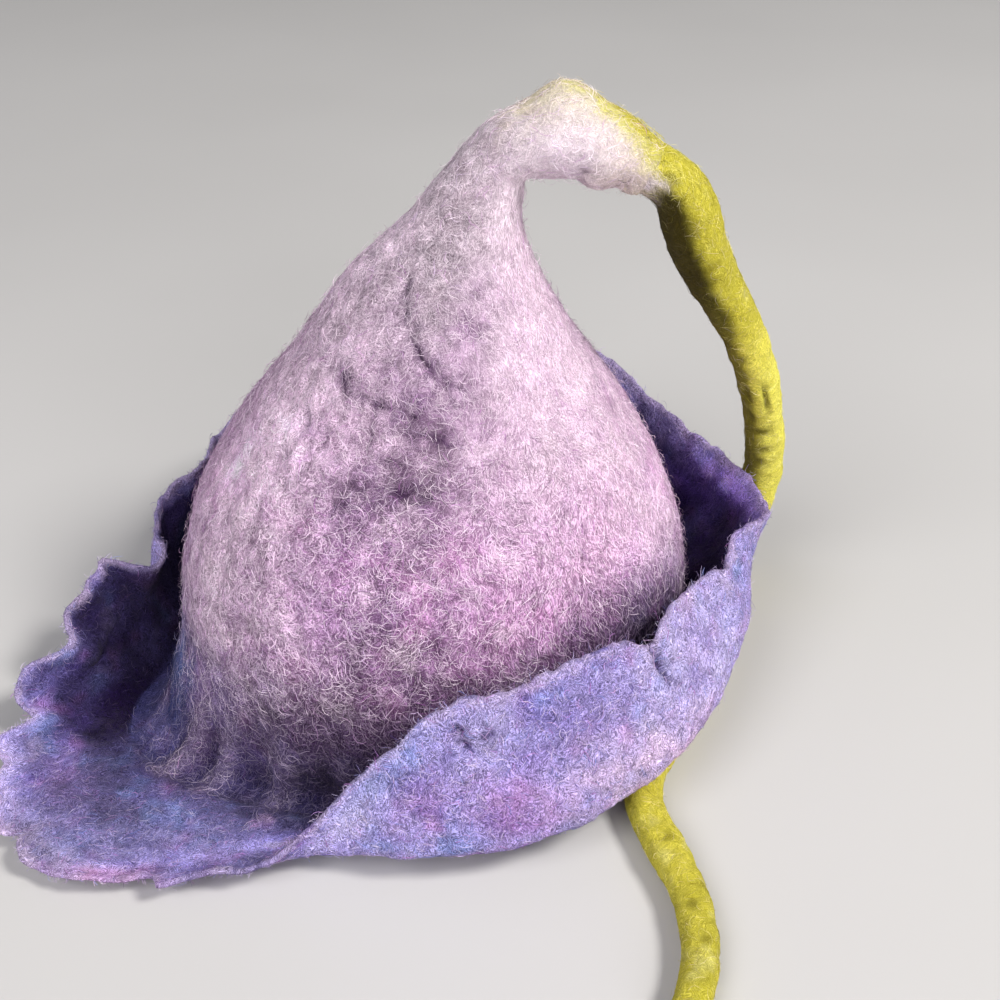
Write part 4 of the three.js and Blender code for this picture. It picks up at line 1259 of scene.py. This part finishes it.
def strands(sheet, i, j, theta, length, bend, wave, lift, arch, rng, steps):
    """Curling paths that follow the surface. lift is how far the end stands off, arch the middle."""
    n = len(i)
    ds = length / steps
    phase, freq = rng.uniform(0, 2 * np.pi, n), rng.uniform(0.5, 1.1, n)
    out_p, out_n = [], []
    i, j, theta = i.copy(), j.copy(), theta.copy()
    for k in range(steps + 1):
        p, nn = sheet.place(i, j), unit(sheet.sample(sheet.n, i, j))
        t = k / steps
        h = 0.06 + lift * t**1.6 + arch * np.sin(np.pi * t)
        out_p.append(p + nn * h[:, None])
        out_n.append(nn)
        ti, tj = sheet.sample(sheet.down, i, j), sheet.sample(sheet.round, i, j)
        a = np.maximum(np.linalg.norm(ti, axis=1), 1e-6)
        e1 = ti / a[:, None]
        e2 = unit(np.cross(nn, e1))
        b, c = np.sum(tj * e1, 1), np.sum(tj * e2, 1)
        c = np.where(np.abs(c) < 0.05, np.where(c < 0, -0.05, 0.05), c)
        dj = np.clip(ds * np.sin(theta) / c, -6, 6)
        i = i + np.clip((ds * np.cos(theta) - b * dj) / a, -6, 6)
        j = j + dj
        theta = theta + ds * (bend + wave * np.sin(freq * k * ds + phase))
    return np.stack(out_p, 1), np.stack(out_n, 1)


def ribbons(paths, ups, width, rng):
    """Flat strands: two edges along each path, narrowing to the ends."""
    n, m = paths.shape[:2]
    tangent = unit(np.gradient(paths, axis=1))
    twist = rng.uniform(-0.9, 0.9, n)[:, None] + np.linspace(-0.3, 0.3, m)[None] * rng.uniform(-1, 1, n)[:, None]
    across = unit(np.cross(tangent, ups))
    up = np.cross(across, tangent)
    side = across * np.cos(twist)[..., None] + up * np.sin(twist)[..., None]
    t = np.linspace(0, 1, m)
    taper = 0.35 + 0.65 * np.minimum(1, 4 * np.minimum(t, 1 - t) + 0.1)
    w = width[:, None] * taper[None] / 2
    return np.stack([paths - side * w[..., None], paths + side * w[..., None]], 2)


def wool_piece(name, edges, tint, material):
    n, m = edges.shape[:2]
    points = edges.reshape(-1, 3)
    points[:, 2] = np.maximum(points[:, 2], 0.08)
    base = (np.arange(n) * m * 2)[:, None] + (np.arange(m - 1) * 2)[None]
    quads = np.stack([base, base + 1, base + 3, base + 2], -1).reshape(-1, 4)
    side = int(math.ceil(math.sqrt(n)))
    cell_x, cell_y = np.arange(n) % side, np.arange(n) // side
    v = np.linspace(0.15, 0.85, m)
    corner = np.stack([
        np.stack([np.full(m - 1, 0.2), v[:-1]], -1), np.stack([np.full(m - 1, 0.8), v[:-1]], -1),
        np.stack([np.full(m - 1, 0.8), v[1:]], -1), np.stack([np.full(m - 1, 0.2), v[1:]], -1),
    ], 1)
    uv = (corner[None] + np.stack([cell_x, cell_y], -1)[:, None, None]) / side
    colours = np.repeat(tint, m * 2, axis=0)
    obj = mesh_object(name, points, quads, [], colours, material, uv.reshape(-1, 2))
    return obj


def strand_colours(tint, rng, white, others=(), bold=0.0):
    """Each strand keeps the colour of its place, lighter or darker, and a few are of another colour."""
    n = len(tint)
    pale = rng.random(n) < 0.58
    shine = tint @ np.array([0.21, 0.72, 0.07])
    dull = rng.uniform(0.50, 0.95, n) + 0.25 * smooth(shine, 0.55, 0.8) - 0.24 * bold
    c = tint * np.where(pale, rng.uniform(0.95, 1.25, n) + 0.10 * bold, dull)[:, None]
    bright = 0.12 + 0.88 * smooth(tint @ np.array([0.21, 0.72, 0.07]), 0.01, 0.22)
    c = mixed(c, FIBRE_WHITE, np.where(pale, rng.uniform(0.25, 0.80, n), 0.0) * white * bright)
    for share, colour in others:
        pick = rng.random(n) < share
        c[pick] = mixed(c[pick], colour, rng.uniform(0.3, 0.8, pick.sum()) * bright[pick])
    return np.clip(c, 0, 0.95)


def lay(sheet, count, rng, spread, lengths, field=(30.0, 111), weight=None, fly=0.05, comb=None, high=(0.4, 2.2), widths=(0.08, 0.15), steps=STEPS, bold=None):
    i, j = sheet.roots(count, rng, weight)
    root = sheet.place(i, j)
    straight = np.zeros(count) if comb is None else 0.72 * sheet.sample(comb[..., None], i, j)[:, 0]
    swirl = np.pi * fbm(root, field[0], field[1], 2) * (1 - straight)
    theta = swirl + rng.normal(0, 1, count) * spread * (1 - 0.72 * straight) + np.where(rng.random(count) < 0.5, np.pi, 0)
    length = rng.uniform(*lengths, count) * (1 - 0.45 * straight)
    bend = rng.normal(0, 0.15, count)
    tight = rng.random(count) < 0.40
    bend[tight] = rng.choice([-1, 1], tight.sum()) * rng.uniform(0.18, 0.55, tight.sum())
    length = np.where(tight, np.minimum(length, 4.6 / np.abs(bend)), length)
    curly = 1 - 0.55 * straight
    wave = rng.normal(0, 0.40, count)
    lift = rng.exponential(0.16, count)
    arch = rng.exponential(0.12, count)
    loose = rng.random(count) < fly
    lift[loose] += rng.uniform(*high, loose.sum())
    arch[loose] += rng.uniform(0.0, 0.5 * high[1], loose.sum())
    paths, ups = strands(sheet, i, j, theta, length, bend * curly, wave * curly, lift, arch, rng, steps)
    width = rng.uniform(*widths, count)
    if bold is not None:
        width = width * (1 + 0.45 * sheet.sample(bold[..., None], i, j)[:, 0])
    return i, j, ribbons(paths, ups, width, rng)


crown_sheet = Sheet(UPPER, UP_N, 1, BRIM_0 + 7)
brim_up_sheet = Sheet(UPPER[BRIM_0:], UP_N[BRIM_0:], 3)
brim_down_sheet = Sheet(UNDER[BRIM_0:], UNDER_N[BRIM_0:], 3)

pieces = []
facing = 0.8 - 0.4 * np.sin(np.radians(grid_az))


def crown_wool(name, count, seed):
    rng = np.random.default_rng(seed)
    at_foot = np.exp(-((turn(grid_az, 234) / 30) ** 4))
    weight = (0.55 + 0.45 * np.maximum(smooth(UPPER[..., 2], 10, 40), at_foot)) * facing * (1 - 0.92 * bare)
    weight[N_CROWN - 2 :] *= 0.9 * at_foot[N_CROWN - 2 :] * smooth(row_s, 0.13, 0.02)[N_CROWN - 2 :]
    i, j, edges = lay(crown_sheet, count, rng, 0.85, (3.4, 8.8), (24.0, 111), weight, fly=0.14, comb=comb_upper, high=(0.4, 2.3), widths=(0.08, 0.155), bold=bold_upper)
    tint = crown_sheet.sample(tint_upper, i, j)
    colours = strand_colours(tint, rng, 1.0, ((0.06, PALE), (0.03, MAGENTA)), crown_sheet.sample(bold_upper[..., None], i, j)[:, 0])
    pieces.append(wool_piece(name, edges, colours, WOOL_MAT))


def brim_wool(name, sheet, tints, count, seed, edge_count, white, widths, comb, bold):
    rng = np.random.default_rng(seed)
    bright = tints @ np.array([0.21, 0.72, 0.07])
    weight = (0.30 + 0.70 * smooth(bright, 0.02, 0.14)) * facing[BRIM_0:] * (1 - 0.85 * creased[BRIM_0:])
    i, j, edges = lay(sheet, count, rng, 0.9, (2.2, 6.0), (22.0, 131), weight, fly=0.04, comb=comb, widths=widths)
    tint = sheet.sample(tints, i, j)
    # Short wisps that stand out past the rim.
    ei = rng.uniform(N_BRIM - 3, N_BRIM - 1, edge_count)
    ej = rng.uniform(0, COLUMNS, edge_count)
    theta = np.sign(rng.uniform(-1, 1, edge_count)) * rng.uniform(0.35, 1.55, edge_count)
    length = rng.uniform(1.0, 3.4, edge_count)
    p, n = strands(sheet, ei, ej, theta, length, rng.normal(0, 0.45, edge_count), rng.normal(0, 0.4, edge_count), rng.normal(0.1, 0.7, edge_count), np.zeros(edge_count), rng, STEPS)
    edges = np.concatenate([edges, ribbons(p, n, rng.uniform(0.08, 0.15, edge_count), rng)])
    tint = np.concatenate([tint, sheet.sample(tints, np.minimum(ei, N_BRIM - 1.01), ej)])
    colours = strand_colours(tint, rng, white, ((0.10, PALE), (0.13, CYAN), (0.13, MAGENTA), (0.10, VIOLET)), bold)
    pieces.append(wool_piece(name, edges, colours, WOOL_MAT))


crown_wool("wool_crown_a", 19700, 201)
crown_wool("wool_crown_b", 19700, 202)
crown_wool("wool_crown_c", 19700, 203)
spread_comb = (0.75 * np.exp(-((turn(grid_az, 222) / 30) ** 4)))[BRIM_0:]
brim_wool("wool_brim_upper", brim_up_sheet, tint_upper[BRIM_0:], 12500, 211, 2000, 0.62, (0.07, 0.13), spread_comb, 0.5)
brim_wool("wool_brim_under", brim_down_sheet, tint_under[BRIM_0:], 12500, 221, 2400, 0.78, (0.09, 0.17), None, 1.0)


def outward(grid):
    n = normals(grid)
    return n * np.sign(np.sum(n * (grid - grid.mean(1, keepdims=True)), -1, keepdims=True))


def stem_wool():
    rng = np.random.default_rng(231)
    sheet = Sheet(STEM_GRID, outward(STEM_GRID), 4, len(STEM_GRID) - 8)
    i, j, edges = lay(sheet, 4600, rng, 0.5, (2.5, 6.5), (30.0, 141), fly=0.035, high=(0.3, 1.3), widths=(0.08, 0.15))
    tint = stem_tint(sheet.place(i, j), np.interp(i, np.arange(len(STEM_ALONG)), STEM_ALONG), 90 + 360 * j / STEM_SIDES, sheet.sample(sheet.n, i, j))
    colours = strand_colours(tint, rng, 0.35, ((0.08, OLIVE), (0.14, LIME_PALE)))
    # Strands that run from the peak on to the stem and hide where one begins.
    back = np.linspace(11.0, 0.4, 9)
    section = through(np.arange(TOP + 1), CROWN, TOP - back / 11.0)
    lean = np.radians(section[:, 4])
    ring_side = np.stack([0 * lean, 0 * lean + 1.0, 0 * lean], -1)
    ring_axis = np.stack([np.sin(lean), 0 * lean, np.cos(lean)], -1)
    ring_other = np.cross(ring_axis, ring_side)
    ang = 2 * np.pi * np.arange(STEM_SIDES) / STEM_SIDES
    centre = np.stack([section[:, 0], 0 * lean, section[:, 1]], -1)
    rings = centre[:, None] + section[:, 3][:, None, None] * (
        ring_side[:, None] * np.cos(ang)[None, :, None] + ring_other[:, None] * np.sin(ang)[None, :, None]
    )
    joint = np.vstack([rings, STEM_GRID[4:16]])
    join_sheet = Sheet(joint, outward(joint), 1, len(joint) - 5)
    i2, j2, edges2 = lay(join_sheet, 1100, rng, 0.45, (2.0, 5.0), (60.0, 151), fly=0.03, high=(0.2, 0.7), widths=(0.08, 0.14))
    at = join_sheet.place(i2, j2)
    green, lime = green_share(at, 90 + 360 * j2 / STEM_SIDES, TOP + (i2 - 8) * 1.5 / 11.0 + rng.normal(0, 0.3, len(i2)))
    tint2 = mixed(np.broadcast_to(CROWN_TINT[-1][1], at.shape), mixed(lime, LIME_PALE, rng.uniform(0, 0.8, len(i2))), green)
    # Painted shade on the strands of the stem's shaded side, as on the stem.
    in_shade = smooth(join_sheet.sample(join_sheet.n, i2, j2) @ np.array([-0.88, -0.20, -0.42]), 0.15, 0.6) * smooth(i2, 7.0, 9.5)
    tint2 = mixed(tint2, OLIVE_SHADE, 0.85 * in_shade)
    edges, colours = np.concatenate([edges, edges2]), np.concatenate([colours, np.clip(tint2 * rng.uniform(0.85, 1.1, len(i2))[:, None], 0, 0.95)])
    return wool_piece("wool_stem", edges, colours, STEM_WOOL_MAT)


stem_wool_obj = stem_wool()

# ---- What the pieces stand for ---------------------------------------------------------------------------
for piece, node, slot in [(body_obj, "hat_body", "felt_lilac"), (stem_obj, "stem", "felt_green")]:
    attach(piece, "root")
    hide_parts(node)
for piece in pieces:
    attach(piece, "root")
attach(stem_wool_obj, "root")


# ---- Floor and light ------------------------------------------------------------------------------------------
def make_floor():
    mesh = bpy.data.meshes.new("floor")
    mesh.from_pydata([(-4, -4, -0.0003), (4, -4, -0.0003), (4, 4, -0.0003), (-4, 4, -0.0003)], [], [(0, 1, 2, 3)])
    obj = bpy.data.objects.new("floor", mesh)
    scene.collection.objects.link(obj)
    k = Nodes("pale_floor")
    where = k.new("ShaderNodeTexCoord").outputs["Object"]
    tone = k.range(k.noise(where, 3.0, 2.0, 0.5, 0.0), 0.2, 0.8, 0.0, 1.0)
    a = k.new("ShaderNodeMix", data_type="RGBA")
    k.link(tone, a.inputs[0])
    a.inputs[6].default_value = (0.52, 0.51, 0.50, 1)
    a.inputs[7].default_value = (0.55, 0.54, 0.53, 1)
    k.link(a.outputs[2], k.bsdf.inputs["Base Color"])
    k.bsdf.inputs["Roughness"].default_value = 0.85
    mesh.materials.append(k.mat)


def area_light(name, place, aim, size, power, colour=(1, 1, 1)):
    data = bpy.data.lights.new(name, "AREA")
    data.shape = "DISK"
    data.size = size
    data.energy = power
    data.color = colour
    obj = bpy.data.objects.new(name, data)
    obj.location = place
    obj.rotation_euler = (Vector(aim) - Vector(place)).to_track_quat("-Z", "Y").to_euler()
    scene.collection.objects.link(obj)


make_floor()
area_light("key", (1.86, -0.87, 2.45), (0.0, 0.0, 0.09), 0.8, 86.0, (1.0, 0.98, 0.95))
area_light("fill", (-1.3, -1.7, 2.3), (0.0, 0.0, 0.08), 1.8, 54.0, (0.98, 0.97, 1.0))
area_light("low", (0.9, -2.3, 0.95), (0.0, 0.0, 0.07), 1.5, 26.0, (1.0, 0.98, 0.97))
world = bpy.data.worlds.new("studio")
world.use_nodes = True
world.node_tree.nodes["Background"].inputs["Color"].default_value = (0.93, 0.95, 1.0, 1)
world.node_tree.nodes["Background"].inputs["Strength"].default_value = 0.17
scene.world = world
scene.view_settings.view_transform = "Standard"
scene.view_settings.look = "None"
scene.view_settings.exposure = 0.0

counts = {o.name: triangles(o) for o in [body_obj, stem_obj, *pieces, stem_wool_obj]}
print("triangles", counts, sum(counts.values()))
